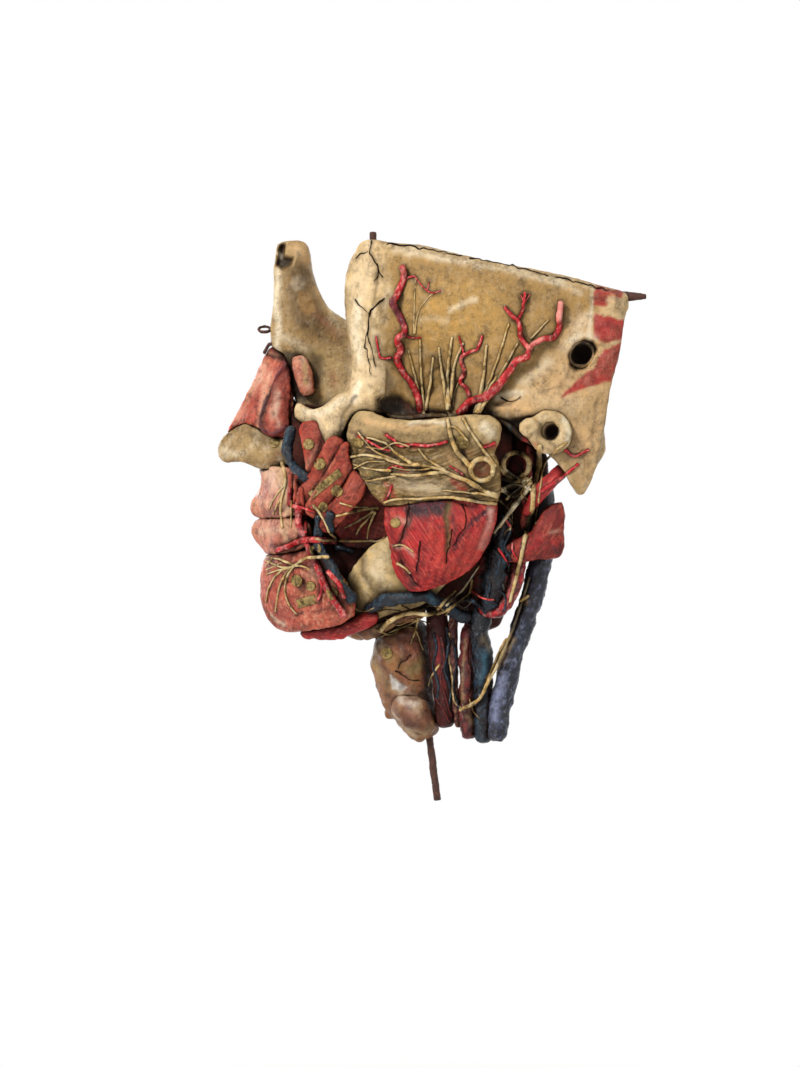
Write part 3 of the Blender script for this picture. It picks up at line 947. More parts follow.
# Coats: the paints of each kind of surface, the scale of mottling and brush marks, which way the marks
# lean, how strong streaks, flecks and fine cracks show, and the finish of the varnish.
# Gesso and glue paint over moulded pulp, in the cream of old bone: opaque, dull, chipped to a pale
# ground and crackled.
BONE_COAT = {
    "name": "paper_pulp_bone_cream_varnished", "base": "bone", "second": "bone_ochre",
    "streak": "bone_pale", "glaze": "glaze", "pale": "bone_pale", "mottle": 11 * MM, "mottled": 0.7,
    "dirt": 0.42, "fibre": (3 * MM, 5 * MM), "lean": 0, "streaks": 0.3, "crackle": 0.45, "stains": 0.35,
    "flecks": 0.12, "roughness": 0.42, "varnish": 0.25,
}
# The same on the jaw, where a yellower cream was laid on thickly and rubbed smooth.
JAW_COAT = {**BONE_COAT, "name": "paper_pulp_jaw_cream_varnished", "base": "jaw_cream"}
# Umber glaze over raw pulp: nearly black, so that what lies in front of it stands out.
CORE_COAT = {
    **BONE_COAT, "name": "paper_pulp_core_umber_glazed", "base": "core_umber", "second": "core_red",
    "streak": "glaze", "pale": "temple_shade", "crackle": 0, "roughness": 0.45, "varnish": 0.12,
}
# Salmon glue paint brushed along the fibres and varnished: skin muscle with broken highlights.
SALMON_COAT = {
    "name": "paper_pulp_salmon_varnished", "base": "salmon", "second": "salmon_deep",
    "streak": "salmon_pale", "glaze": "glaze", "pale": "salmon_pale", "mottle": 7 * MM, "mottled": 0.6,
    "dirt": 0.55, "fibre": (1.4 * MM, 9 * MM), "lean": 0.5, "streaks": 0.45, "crackle": 0.2, "stains": 0.5,
    "flecks": 0.4, "roughness": 0.3, "varnish": 0.35,
}
# A paler mix of it for the lips and the tear sac, with little dirt: soft and even.
LIP_COAT = {**SALMON_COAT, "name": "paper_pulp_lip_pink_varnished", "base": "lip", "flecks": 0.2}
# Darker red brushed in long strokes: muscle that shows its grain under the varnish.
FLESH_COAT = {
    **SALMON_COAT, "name": "paper_pulp_muscle_red_varnished", "base": "flesh", "second": "flesh_dark",
    "streak": "salmon", "fibre": (1.1 * MM, 12 * MM), "streaks": 0.55,
}
# Dark red in the depth of the cheek, glazed over: dull, with a few lit fibres.
CHEEK_COAT = {
    **FLESH_COAT, "name": "paper_pulp_cheek_dark_red_varnished", "base": "flesh_dark", "second": "flesh",
}
# Nearly black red round the throat: only the brush strokes catch light.
THROAT_COAT = {
    **FLESH_COAT, "name": "paper_pulp_throat_dark_varnished", "base": "throat", "streak": "flesh_dark",
}
# Greyed red with worn salmon: a dry strip of muscle.
MAUVE_COAT = {
    **FLESH_COAT, "name": "paper_pulp_throat_mauve_varnished", "base": "mauve", "streak": "salmon_pale",
}
# Brick red on the flat straps of the face: matt, with the brush marks along them.
STRAP_COAT = {
    **FLESH_COAT, "name": "paper_pulp_strap_red_varnished", "base": "strap", "second": "flesh",
    "lean": 0.55,
}
# Crimson under a thick varnish, with fine lighter strokes along the fibres: the brightest gloss.
MASSETER_COAT = {
    **FLESH_COAT, "name": "paper_pulp_masseter_red_gloss", "base": "masseter_red", "second": "flesh_dark",
    "streak": "masseter_light", "pale": "masseter_light", "mottled": 0.4, "dirt": 0.4,
    "fibre": (0.9 * MM, 34 * MM), "lean": -0.6, "streaks": 0.75, "stains": 0.3, "flecks": 0.25,
    "roughness": 0.26, "varnish": 0.5,
}
# The same crimson, with its fibres along the muscle under the chin.
CHIN_MUSCLE_COAT = {**MASSETER_COAT, "name": "paper_pulp_chin_muscle_red_gloss", "lean": 1.27}
# The same crimson, with its fibres along the muscle behind the jaw.
NECK_MUSCLE_COAT = {**MASSETER_COAT, "name": "paper_pulp_neck_muscle_red_gloss", "lean": 0.66}
# Ochre and umber brushed in fine lines over pulp: a gland that looks combed.
PAROTID_COAT = {
    **BONE_COAT, "name": "paper_pulp_gland_ochre_varnished", "base": "parotid", "second": "parotid_dark",
    "streak": "bone", "fibre": (0.8 * MM, 14 * MM), "lean": 1.2, "streaks": 0.6, "crackle": 0.1,
    "roughness": 0.36,
}
# Greyed khaki over gesso: a dull, dusty nose tip.
CARTILAGE_COAT = {
    **BONE_COAT, "name": "paper_pulp_cartilage_grey_varnished", "base": "cartilage", "second": "khaki",
}
# Brown varnish pooled over cream and red brown paint: glossy, clouded, and chipped to white.
LARYNX_COAT = {
    **BONE_COAT, "name": "paper_pulp_larynx_brown_gloss", "base": "larynx", "second": "larynx_red",
    "streak": "bone_ochre", "pale": "bone", "mottle": 7 * MM, "streaks": 0.35, "roughness": 0.28,
    "varnish": 0.5,
}
# Thread wound on wire, sized, and dipped in red enamel: round, glossy and uneven, with pale wear.
ARTERY_COAT = {
    **FLESH_COAT, "name": "wound_thread_artery_red_enamel", "base": "artery", "second": "flesh_dark",
    "streak": "artery_pale", "pale": "artery_pale", "mottle": 5 * MM, "fibre": (1.6 * MM, 3 * MM),
    "streaks": 0.5, "crackle": 0, "dirt": 0.75, "stains": 0.75, "flecks": 0.55, "roughness": 0.24,
    "varnish": 0.55,
}
# The large artery in a darker enamel, dull with dirt.
CAROTID_COAT = {
    **ARTERY_COAT, "name": "wound_thread_carotid_dark_enamel", "base": "carotid", "streak": "flesh",
}
# Blue black enamel on wound thread: dark, with lit blue strokes and worn spots.
VEIN_COAT = {
    **ARTERY_COAT, "name": "wound_thread_vein_blue_enamel", "base": "vein", "second": "vein_dark",
    "streak": "vein_gloss", "pale": "jugular_light", "streaks": 0.5,
}
# Slate enamel, worn to lilac where it was handled.
JUGULAR_COAT = {
    **VEIN_COAT, "name": "wound_thread_jugular_slate_enamel", "base": "jugular", "streak": "jugular_light",
    "pale": "jugular_light",
}
# Linen thread sized with glue and painted cream: a dry, slightly fuzzy cord with brown dirt.
NERVE_COAT = {
    **BONE_COAT, "name": "linen_thread_nerve_cream_sized", "base": "nerve", "second": "nerve_gold",
    "mottle": 5 * MM, "mottled": 0.85, "crackle": 0, "stains": 0.7, "flecks": 0.5, "roughness": 0.38,
    "varnish": 0.2,
}
# The tangle of threads behind the jaw: bare linen with little paint, so paler and duller.
PALE_THREAD_COAT = {**NERVE_COAT, "name": "bare_linen_thread_cream", "base": "bone_pale", "second": "nerve"}
# Bare, frayed hemp: brown and without gloss.
HEMP_COAT = {**NERVE_COAT, "name": "frayed_hemp_brown", "base": "nerve_gold", "second": "temple_shade"}
# Printed paper glued on and varnished, its print worn off: yellowed, flecked and dull.
LABEL_COAT = {
    **NERVE_COAT, "name": "glued_paper_label_aged", "base": "label", "second": "label_ink",
    "streak": "bone", "mottle": 2.5 * MM, "mottled": 0.8, "flecks": 0.6, "streaks": 0.2, "roughness": 0.55,
    "varnish": 0.1,
}
# The dark inside of an open crack: no gloss at all.
CRACK_COAT = {
    **CORE_COAT, "name": "open_crack_dark", "base": "glaze", "second": "glaze", "pale": "glaze",
    "varnish": 0,
}

# Pieces moulded in one sheet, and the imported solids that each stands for
SKULL = ("skull_wall", "brow_column", "cheek_bone", "forehead_and_orbit_wall")
BONES = ("bones", SKULL, MOULDED, BONE_COAT)
SHEET = ("cheek_sheet", ("zygomatic_arch", "parotid_sheet"), FLESH, PAROTID_COAT)

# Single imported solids, with the surface and the coat each gets
EAR = (("ear_canal", FLESH, BONE_COAT),)
CORES = (
    ("face_core", CORE, CORE_COAT),
    ("deep_core", CORE, CORE_COAT),
    ("mandible", MOULDED, JAW_COAT),
)
FACE = (
    ("nose_cartilage", FLESH, CARTILAGE_COAT),
    ("nasal_muscle", FLESH, SALMON_COAT),
    ("lacrimal_sac", FLESH, LIP_COAT),
    ("upper_lip", FLESH, LIP_COAT),
    ("lower_lip", FLESH, LIP_COAT),
    ("chin_muscle", FLESH, SALMON_COAT),
    ("buccinator", FLESH, CHEEK_COAT),
    ("nasal_flap", FLESH, STRAP_COAT),
)
STRAPS = (
    ("levator_strap", BAND, STRAP_COAT),
    ("zygomatic_strap_1", BAND, STRAP_COAT),
    ("zygomatic_strap_2", BAND, STRAP_COAT),
    ("zygomatic_strap_3", BAND, STRAP_COAT),
    ("digastric_front", FLESH, CHIN_MUSCLE_COAT),
)
THROAT = (
    ("larynx", WRINKLED, LARYNX_COAT),
    ("hyoid_bone", WRINKLED, LARYNX_COAT),
    ("thyroid_gland", WRINKLED, LARYNX_COAT),
    ("throat_muscle", FLESH, THROAT_COAT),
    ("throat_strap", FLESH, MAUVE_COAT),
)
DEEP = (
    ("styloid_band", VESSEL, FLESH_COAT),
    ("digastric_rear", FLESH, NECK_MUSCLE_COAT),
    ("sternomastoid_stump", FLESH, FLESH_COAT),
)
NECK_VESSELS = (
    ("common_carotid", VESSEL, CAROTID_COAT),
    ("outer_carotid", VESSEL, ARTERY_COAT),
    ("inner_jugular", VESSEL, VEIN_COAT),
    ("outer_jugular", VESSEL, JUGULAR_COAT),
    ("link_vein", VESSEL, VEIN_COAT),
    ("retromandibular_vein", TANGLE, VEIN_COAT),
    ("vagus_nerve", THREAD, NERVE_COAT),
)
CHEEK = (
    ("facial_vein_upper", VESSEL, VEIN_COAT),
    ("facial_vein_lower", VESSEL, VEIN_COAT),
    ("facial_artery", CORD, ARTERY_COAT),
)
BLOCK = (
    ("block_backing", CORE, CORE_COAT),
    ("masseter", FLESH, MASSETER_COAT),
)
IRON = ("neck_rod", "top_peg", "rear_tang", "hook_eye", "nose_wire", "block_peg_1", "block_peg_2")

# Groups of cords: the piece's name, its cords, coat and body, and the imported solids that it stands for
TEMPLE_CORDS = (
    ("temporal_nerves_front_painted", FRONT_NERVES, NERVE_COAT, HALF, ("temporal_nerves_front",)),
    ("temporal_nerves_rear_painted", REAR_NERVES, NERVE_COAT, HALF, ("temporal_nerves_rear",)),
    ("temporal_artery_front_painted", FRONT_ARTERY, ARTERY_COAT, HALF, ("temporal_artery_front",)),
    ("temporal_artery_rear_painted", REAR_ARTERY, ARTERY_COAT, HALF, ("temporal_artery_rear",)),
)
BLOCK_CORDS = (
    ("transverse_artery_painted", BLOCK_ARTERY, ARTERY_COAT, LIFTED, ("transverse_artery",)),
    ("facial_nerve_branches_painted", BLOCK_NERVES, NERVE_COAT, LIFTED, ("facial_nerve_branches",)),
    ("block_loop", BLOCK_LOOP, NERVE_COAT, LIFTED),
)
DEEP_CORDS = (
    ("facial_nerve_trunk_painted", TRUNK_NERVES, NERVE_COAT, HALF, ("facial_nerve_trunk",)),
    ("trunk_loop", TRUNK_LOOP, NERVE_COAT, HALF),
    ("vein_tie", VEIN_TIE, NERVE_COAT, HALF),
    ("deep_veins", DEEP_VEINS, VEIN_COAT, HALF),
    ("deep_arteries", DEEP_ARTERIES, ARTERY_COAT, HALF),
    ("deep_strips", DEEP_STRIPS, PALE_THREAD_COAT, HALF),
)
CHEEK_CORDS = (
    ("lip_straps", LIP_STRAPS, STRAP_COAT, HALF),
    ("cheek_arteries", CHEEK_ARTERIES, ARTERY_COAT, HALF),
    ("cheek_veins", CHEEK_VEINS, VEIN_COAT, HALF),
    ("buccal_nerve_painted", BUCCAL_NERVES, NERVE_COAT, HALF, ("buccal_nerve",)),
    ("chin_nerve_painted", CHIN_NERVES, NERVE_COAT, HALF, ("chin_nerve",)),
    ("lip_cords", LIP_CORDS, NERVE_COAT, HALF),
)
THROAT_CORDS = (
    ("hypoglossal_nerve_painted", TONGUE_NERVES, NERVE_COAT, HALF, ("hypoglossal_nerve",)),
    ("neck_nerves", NECK_NERVES, NERVE_COAT, HALF),
    ("neck_veins", NECK_VEINS, VEIN_COAT, HALF),
    ("neck_arteries", NECK_ARTERIES, CAROTID_COAT, HALF),
    ("hemp_strands", HEMP_STRANDS, HEMP_COAT, HALF),
)

# Groups of open cracks
HEAD_CRACKS = (
    ("brow_cracks", BROW_CRACKS, CRACK_COAT, HALF),
    ("skull_cracks", SKULL_CRACKS, CRACK_COAT, HALF),
    ("larynx_cracks", LARYNX_CRACKS, CRACK_COAT, HALF),
)
BLOCK_CRACKS = (("block_cracks", JAW_CRACKS, CRACK_COAT, LIFTED),)


def linear(code):
    """A colour's linear values from its sRGB hex code."""
    values = []
    for place in CODE_PLACES:
        share = int(code[place : place + 2], 16) / CODE_TOP
        if share > CURVE_KNEE:
            values.append(((share + CURVE_SHIFT) / (1 + CURVE_SHIFT)) ** CURVE_POWER)
        else:
            values.append(share / CURVE_SLOPE)
    return (*values, 1.0)


def paint(name, code, description):
    """A paint that a user may change."""
    return FloatVectorProperty(
        name=name, description=description, subtype="COLOR", size=4, min=0, max=1, default=linear(code)
    )


class SectionColours(bpy.types.PropertyGroup):
    """The paints of the section."""

    bone: paint("Bone", "#CDAF80", "Cream paint of the bones")
    bone_ochre: paint("Bone ochre", "#9C8258", "Darker ochre in the bone paint")
    bone_pale: paint("Bone pale", "#EBDCBE", "Worn, bare edges of the bones")
    bone_warm: paint("Bone warm", "#CBA372", "Warm tan of the lower temple")
    brow_cream: paint("Brow cream", "#D6BB92", "Light cream of the brow and cheek bone")
    temple_paper: paint("Temple paper", "#A37E45", "Brown paper sheet on the temple")
    paper_gold: paint("Paper gold", "#B38B4A", "Golden varnish on the paper sheet")
    temple_shade: paint("Temple shade", "#6B5436", "Brown dirt rubbed into the bones")
    khaki: paint("Forehead khaki", "#9A7C50", "Khaki paint of the forehead")
    khaki_dark: paint("Forehead shadow", "#60492C", "Darker khaki of the forehead")
    khaki_pale: paint("Forehead label", "#A3927A", "Faded round label on the forehead")
    tan_label: paint("Tan label", "#9A7647", "Brown oval label on the forehead")
    orbit_gold: paint("Orbit gold", "#B69A6B", "Golden wall of the eye socket")
    jaw_cream: paint("Jaw cream", "#D2B27A", "Cream paint of the jaw bone")
    hemp: paint("Hemp", "#BFA37A", "Frayed hemp and bare pulp")
    oxblood: paint("Oxblood", "#A8242A", "Red patches behind the temple")
    oxblood_light: paint("Oxblood light", "#C6504C", "Worn red patches")
    glaze: paint("Glaze", "#1C100B", "Dark varnish and dirt in the creases")
    core_umber: paint("Core umber", "#3A2218", "Dark brown of the core")
    core_red: paint("Core red", "#5C201A", "Dark red of the core")
    raw_pulp: paint("Raw pulp", "#8A6E4E", "Bare pulp of the flat cut")
    raw_dark: paint("Raw pulp seam", "#4E3A28", "Seams between the pulp layers of the cut")
    salmon: paint("Salmon", "#BC5E47", "Salmon paint of nose and chin")
    salmon_deep: paint("Deep salmon", "#96392E", "Redder salmon")
    salmon_pale: paint("Pale salmon", "#DCA988", "Worn salmon")
    lip: paint("Lip pink", "#BA7B60", "Pink of the lips")
    lip_pale: paint("Pale lip pink", "#E0BFA2", "Bare cream above the lip")
    bruise: paint("Bruise", "#3B2431", "Purple black stain between the muscles")
    flesh: paint("Flesh red", "#8E2C22", "Red of the muscles")
    flesh_dark: paint("Dark flesh", "#561515", "Dark red in the muscles")
    strap: paint("Strap red", "#A04836", "Red of the face's straps")
    masseter_red: paint("Masseter red", "#AA2022", "Bright red of the jaw muscle")
    masseter_light: paint("Masseter light", "#D95646", "Light strokes on the jaw muscle")
    masseter_orange: paint("Masseter orange", "#C23C2C", "Orange red of the jaw muscle")
    masseter_pale: paint("Masseter pale", "#E3B4A2", "Pale edge of the jaw muscle")
    parotid: paint("Gland ochre", "#8C6F3F", "Ochre of the gland sheet")
    parotid_dark: paint("Gland shadow", "#5C4829", "Darker ochre of the gland sheet")
    gland_olive: paint("Gland olive", "#77683F", "Olive stain")
    cartilage: paint("Cartilage", "#A2865A", "Grey cream of the nose tip")
    larynx: paint("Larynx brown", "#86582F", "Brown of the larynx")
    larynx_red: paint("Larynx red", "#7A4432", "Red brown of the larynx")
    chip_white: paint("Chip", "#E9E4DA", "White ground bared by a chip")
    throat: paint("Throat", "#331410", "Dark red brown of the throat muscle")
    mauve: paint("Mauve", "#7E4E46", "Mauve of the narrow throat muscle")
    carotid: paint("Carotid", "#481412", "Dark red of the large artery")
    artery: paint("Artery red", "#BA1E26", "Enamel of the arteries")
    artery_pale: paint("Artery pale", "#F0B4A6", "Worn highlights of the arteries")
    vein: paint("Vein blue", "#141F2C", "Enamel of the veins")
    vein_dark: paint("Vein shadow", "#0D1219", "Dark blue of the veins")
    vein_gloss: paint("Vein light", "#2F5A6C", "Lighter blue strokes")
    jugular: paint("Jugular slate", "#1C2233", "Slate blue of the outer jugular")
    jugular_light: paint("Jugular lilac", "#8288A6", "Worn lilac of the jugular")
    nerve: paint("Nerve cream", "#C8AF80", "Cream of the nerves")
    nerve_gold: paint("Nerve gold", "#8F7440", "Darker gold of the nerves")
    iron: paint("Iron", "#33231F", "Dark forged iron")
    rust: paint("Rust", "#5E3A2C", "Rust on the iron")
    label: paint("Label paper", "#A48B55", "Aged paper of the labels")
    label_ink: paint("Label dirt", "#4E3E24", "Dirt on the labels")
    floor: paint("Floor", "#E9E7E4", "Pale floor")


class SectionSizes(bpy.types.PropertyGroup):
    """Sizes a user would change."""

    swell_share: FloatProperty(
        name="Paint build",
        description="How thick the pulp and paint lie, as a share",
        default=1,
        min=0,
        subtype="FACTOR",
    )
    lump_share: FloatProperty(
        name="Lumpiness",
        description="How uneven the hand-made surface is, as a share",
        default=1,
        min=0,
        subtype="FACTOR",
    )
    camera_distance: FloatProperty(
        name="Camera distance",
        description="From the camera to the middle plane of the section",
        default=-CAMERA_PLACE[1],
        subtype="DISTANCE",
        unit="LENGTH",
    )


def tone(name):
    """The linear values of one of the section's paints."""
    return np.array(getattr(bpy.context.scene.section_colours, name))


def seen_from_side(places):
    """Where places in the frame fall on the photograph, in its pixels."""
    across = MOUNT_PIXEL[0] + places[:, 0] / PIXEL
    down = MOUNT_PIXEL[1] - places[:, 2] / PIXEL
    return np.stack([across, down], axis=1)


def from_side(spots):
    """How far across and up in the frame pixels of the photograph lie."""
    return (spots[:, 0] - MOUNT_PIXEL[0]) * PIXEL, (MOUNT_PIXEL[1] - spots[:, 1]) * PIXEL


def eased(share):
    """A share that starts and ends softly."""
    return share * share * (3 - 2 * share)


GRAIN = np.random.default_rng(GRAIN_SEED).random((GRAIN_CELLS,) * 3) * 2 - 1


def noise(places, span, shift=0):
    """Smooth noise from -1 to 1 with bumps as wide as the span."""
    cell = places / span + shift
    base = np.floor(cell).astype(int)
    share = eased(cell - base)
    total = np.zeros(len(places))
    for corner in np.ndindex(2, 2, 2):
        weight = np.prod(np.where(corner, share, 1 - share), axis=1)
        index = (base + corner) % GRAIN_CELLS
        total += weight * GRAIN[index[:, 0], index[:, 1], index[:, 2]]
    return total


def gap_to(seen, points, closed):
    """How far each seen place is from a path through points, in pixels."""
    ends = points[1:] + points[:1] if closed else points[1:]
    nearest = np.full(len(seen), np.inf)
    for start, end in zip(points, ends):
        run = end - start
        share = np.clip((seen - start) @ run / max(run @ run, TINY_SQUARE), 0, 1)
        nearest = np.minimum(nearest, np.linalg.norm(seen - start - share[:, None] * run, axis=1))
    return nearest


def within(seen, outline):
    """Whether each seen place lies inside an outline."""
    result = np.zeros(len(seen), bool)
    for (x1, y1), (x2, y2) in zip(outline, outline[1:] + outline[:1]):
        crosses = (y1 > seen[:, 1]) != (y2 > seen[:, 1])
        at = x1 + (seen[:, 1] - y1) * (x2 - x1) / ((y2 - y1) or 1)
        result ^= crosses & (seen[:, 0] < at)
    return result


def covered(seen, half_width, fade, path):
    """How fully a stroke covers each seen place, from its middle to its faded edge."""
    cover = np.zeros(len(seen))
    corners = pixels(path)
    reach = half_width + fade
    near = np.all((seen > corners.min(0) - reach) & (seen < corners.max(0) + reach), axis=1)
    spots = seen[near]
    points = list(corners)
    gap = gap_to(spots, points, closed=not half_width)
    signed = half_width - gap if half_width else np.where(within(spots, points), gap, -gap)
    cover[near] = eased(np.clip(0.5 + signed / (2 * fade), 0, 1))
    return cover


def relaxed(places, edges, weights, rounds):
    """Evens out a surface as far as the weights say."""
    size = len(places)
    count = np.bincount(edges.ravel(), minlength=size)[:, None]
    for _ in range(rounds):
        total = np.empty_like(places)
        for axis in range(3):
            one = np.bincount(edges[:, 0], places[edges[:, 1], axis], size)
            other = np.bincount(edges[:, 1], places[edges[:, 0], axis], size)
            total[:, axis] = one + other
        places = places + (total / count - places) * weights[:, None]
    return places


def read(collection, field, width, kind=float):
    """A field of all the items as a table."""
    values = np.zeros(len(collection) * width, np.int32 if kind is int else np.float32)
    collection.foreach_get(field, values)
    return values.reshape(-1, width).astype(kind)


def write(mesh, places):
    """Moves a mesh's vertices."""
    mesh.vertices.foreach_set("co", places.astype(np.float32).ravel())
    mesh.update()


def evened(mesh, step):
    """The same surface as an even mesh."""
    holder = bpy.data.objects.new("pulp", mesh)
    bpy.context.scene.collection.objects.link(holder)
    pulp = holder.modifiers.new("pulp", "REMESH")
    pulp.mode = "VOXEL"
    pulp.voxel_size = step
    graph = bpy.context.evaluated_depsgraph_get()
    result = bpy.data.meshes.new_from_object(holder.evaluated_get(graph))
    bpy.data.objects.remove(holder)
    return result


def swollen(mesh, amount):
    """Moves a surface outwards along its normals."""
    write(mesh, read(mesh.vertices, "co", 3) + amount * read(mesh.vertex_normals, "vector", 3))


def rebuilt(nodes, step):
    """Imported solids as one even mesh; where there are several, pulp closes the joints between them."""
    meshes = [evened(frame["nodes"][node].data.copy(), step) for node in nodes]
    if len(meshes) == 1:
        return meshes[0]
    vertices, faces, count = [], [], 0
    for mesh in meshes:
        swollen(mesh, BRIDGE)
        vertices.extend(read(mesh.vertices, "co", 3).tolist())
        faces.extend([[index + count for index in face.vertices] for face in mesh.polygons])
        count = len(vertices)
    joined = bpy.data.meshes.new("joined")
    joined.from_pydata(vertices, [], faces)
    result = evened(joined, step)
    swollen(result, -BRIDGE)
    return result


def put_paint(mesh, coat, strokes=()):
    """Lays the base paint and the brush strokes on a mesh, and bare pulp on its flat cut."""
    places = read(mesh.vertices, "co", 3)
    normals = read(mesh.vertex_normals, "vector", 3)
    seen = seen_from_side(places)
    for axis in (0, 1):
        seen[:, axis] += WOBBLE_REACH * noise(places, WOBBLE_SPAN, WOBBLE_SHIFTS[axis])
        seen[:, axis] += RAGGED_REACH * noise(places, RAGGED_SPAN, RAGGED_SHIFTS[axis])
    tint = np.tile(tone(coat["base"]), (len(places), 1))
    tint[:, 3] = 0
    facing = np.clip((PAINT_EDGE - normals[:, 1]) * TURN_SLOPE, 0, 1)
    for name, strength, half_width, fade, path in strokes:
        cover = strength * facing * covered(seen, half_width, fade, path)
        tint[:, :3] += (tone(name)[:3] - tint[:, :3]) * cover[:, None]
        tint[:, 3] = np.maximum(tint[:, 3], cover)
    bare = np.clip((normals[:, 1] - BARE_EDGE) * TURN_SLOPE, 0, 1)
    bare = bare * (places[:, 1] > CUT_DEPTH - BARE_RIM)
    seam = np.clip(1 - SEAM_SLOPE * np.abs(noise(places, SEAM_SPAN, SEAM_SHIFT)), 0, 1)[:, None]
    pulp = tone("raw_pulp")[:3] * (1 - seam) + tone("raw_dark")[:3] * seam
    tint[:, :3] += (pulp - tint[:, :3]) * bare[:, None]
    tint[:, 3] = np.maximum(tint[:, 3], bare)
    layer = mesh.color_attributes.new("tint", "FLOAT_COLOR", "POINT")
    layer.data.foreach_set("color", tint.astype(np.float32).ravel())


def finished(name, mesh, material, nodes, body):
    """Puts a painted mesh into the scene as one piece of a body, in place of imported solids."""
    mesh.name = name
    mesh.materials.clear()
    mesh.materials.append(material)
    mesh.polygons.foreach_set("use_smooth", np.ones(len(mesh.polygons), bool))
    piece = bpy.data.objects.new(name, mesh)
    bpy.context.scene.collection.objects.link(piece)
    if nodes:
        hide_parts(*nodes)
    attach(piece, body)
    return piece


def dress(name, nodes, surface, coat):
    """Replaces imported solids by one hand-made, painted piece."""
    sizes = bpy.context.scene.section_sizes
    mesh = rebuilt(nodes, surface["step"])
    edges = read(mesh.edges, "vertices", 2, int)
    places = read(mesh.vertices, "co", 3)
    free = EVENING_SHARE * (places[:, 1] < CUT_DEPTH - CUT_RIM)
    places = relaxed(places, edges, free, surface["rounds"])
    write(mesh, places)
    normals = read(mesh.vertex_normals, "vector", 3)
    outer = np.clip((-normals[:, 1] - OUTER_EDGE) * TURN_SLOPE, 0, 1) * free
    places = relaxed(places, edges, outer, surface["outer_rounds"])
    write(mesh, places)
    normals = read(mesh.vertex_normals, "vector", 3)
    seen = seen_from_side(places)
    lateral = np.clip(-normals[:, 1], 0, 1)
    lift = (surface["swell"] * lateral + surface["spread"] * (1 - lateral)) * sizes.swell_share
    lumps = surface["lump"] * noise(places, surface["lump_span"])
    lumps += surface["grit"] * noise(places, surface["grit_span"], GRIT_SHIFT)
    lift += lumps * sizes.lump_share
    facing = np.clip(-normals[:, 1] * RELIEF_SLOPE, 0, 1)
    for height, half_width, fade, path in RELIEFS.get(name, ()):
        lift += height * facing * covered(seen, half_width, fade, path)
    lift = np.where(places[:, 1] > CUT_DEPTH, 0, lift)
    moved = places + normals * lift[:, None]
    moved[:, 1] = np.minimum(moved[:, 1], np.maximum(places[:, 1], CUT_DEPTH))
    write(mesh, moved)
    material = painted_pulp(coat) if coat else forged_iron()
    if coat:
        put_paint(mesh, coat, PAINTS.get(name, ()))
    return finished(f"{name}_painted", mesh, material, nodes, frame["nodes"][nodes[0]]["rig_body"])


def smooth_route(route):
    """Evenly spaced places along a smooth line through a route, in pixels."""
    points = np.pad(pixels(route), ((1, 1), (0, 0)), mode="edge")
    line = []
    for one, two, three, four in zip(points, points[1:], points[2:], points[3:]):
        count = max(2, int(np.linalg.norm(three - two) / CORD_STEP))
        for share in np.arange(count) / count:
            bend = 2 * one - 5 * two + 4 * three - four
            twist = 3 * two - one - 3 * three + four
            line.append(0.5 * (2 * two + (three - one) * share + bend * share**2 + twist * share**3))
    line.append(points[-1])
    return np.array(line)


def surface_depth(graph, across, up, body):
    """How deep the outermost surface of a body lies at a place seen from the side, or no number."""
    start = Vector((across, RAY_START, up))
    hit, place, _, _, found, _ = bpy.context.scene.ray_cast(graph, start, -LATERAL, distance=RAY_LENGTH)
    return place.y if hit and found.get("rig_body") == body else math.nan


def averaged(values):
    """Each value as the mean of itself and its neighbours."""
    wide = np.concatenate([values[:1], values, values[-1:]])
    return (wide[:-2] + wide[1:-1] + wide[2:]) / 3


def settled(graph, route, body, lift, stray):
    """Places of a cord that lies on the surface along a route, from which it strays by some pixels."""
    line = smooth_route(route)
    spots = np.pad(line * PIXEL, ((0, 0), (0, 1)))
    for axis in (0, 1):
        line[:, axis] += stray * noise(spots, STRAY_SPAN, STRAY_SHIFTS[axis])
    across, up = from_side(line)
    depth = np.array([surface_depth(graph, *place, body) for place in zip(across, up)])
    on = np.flatnonzero(~np.isnan(depth))
    if len(on) < LEAST_HITS:
        raise RuntimeError(f"a cord finds nothing of {body} to lie on along {route}")
    first, last = on[0], on[-1] + 1
    depth = np.interp(np.arange(first, last), on, depth[on])
    for _ in range(SAG_ROUNDS):
        depth = np.minimum(depth, averaged(depth))
    return np.stack([across[first:last], averaged(depth) - lift, up[first:last]], axis=1)


def tube(places, radii, flatness):
    """A closed cord through places, as vertices and faces."""
    sides = CORD_SIDES
    run = np.gradient(places, axis=0)
    run /= np.linalg.norm(run, axis=1)[:, None]
    out = np.array(LATERAL) - run * (run @ np.array(LATERAL))[:, None]
    out /= np.maximum(np.linalg.norm(out, axis=1), TINY)[:, None]
    side = np.cross(run, out)
    rings = []
    for turn in np.arange(sides) * math.tau / sides:
        rings.append(places + radii[:, None] * (math.cos(turn) * flatness * out + math.sin(turn) * side))
    tips = [
        places[:1] - run[:1] * radii[:1, None] * TIP_REACH_SHARE,
        places[-1:] + run[-1:] * radii[-1:, None] * TIP_REACH_SHARE,
    ]
    vertices = np.concatenate([np.stack(rings, axis=1).reshape(-1, 3), *tips])
    hub = len(places) * sides
    tail = hub - sides
    faces = []
    for turn in range(sides):
        after = (turn + 1) % sides
        for foot in range(0, tail, sides):
            faces.append((foot + turn, foot + after, foot + sides + after, foot + sides + turn))
        faces.append((turn, hub, after))
        faces.append((tail + after, hub + 1, tail + turn))
    return vertices, faces


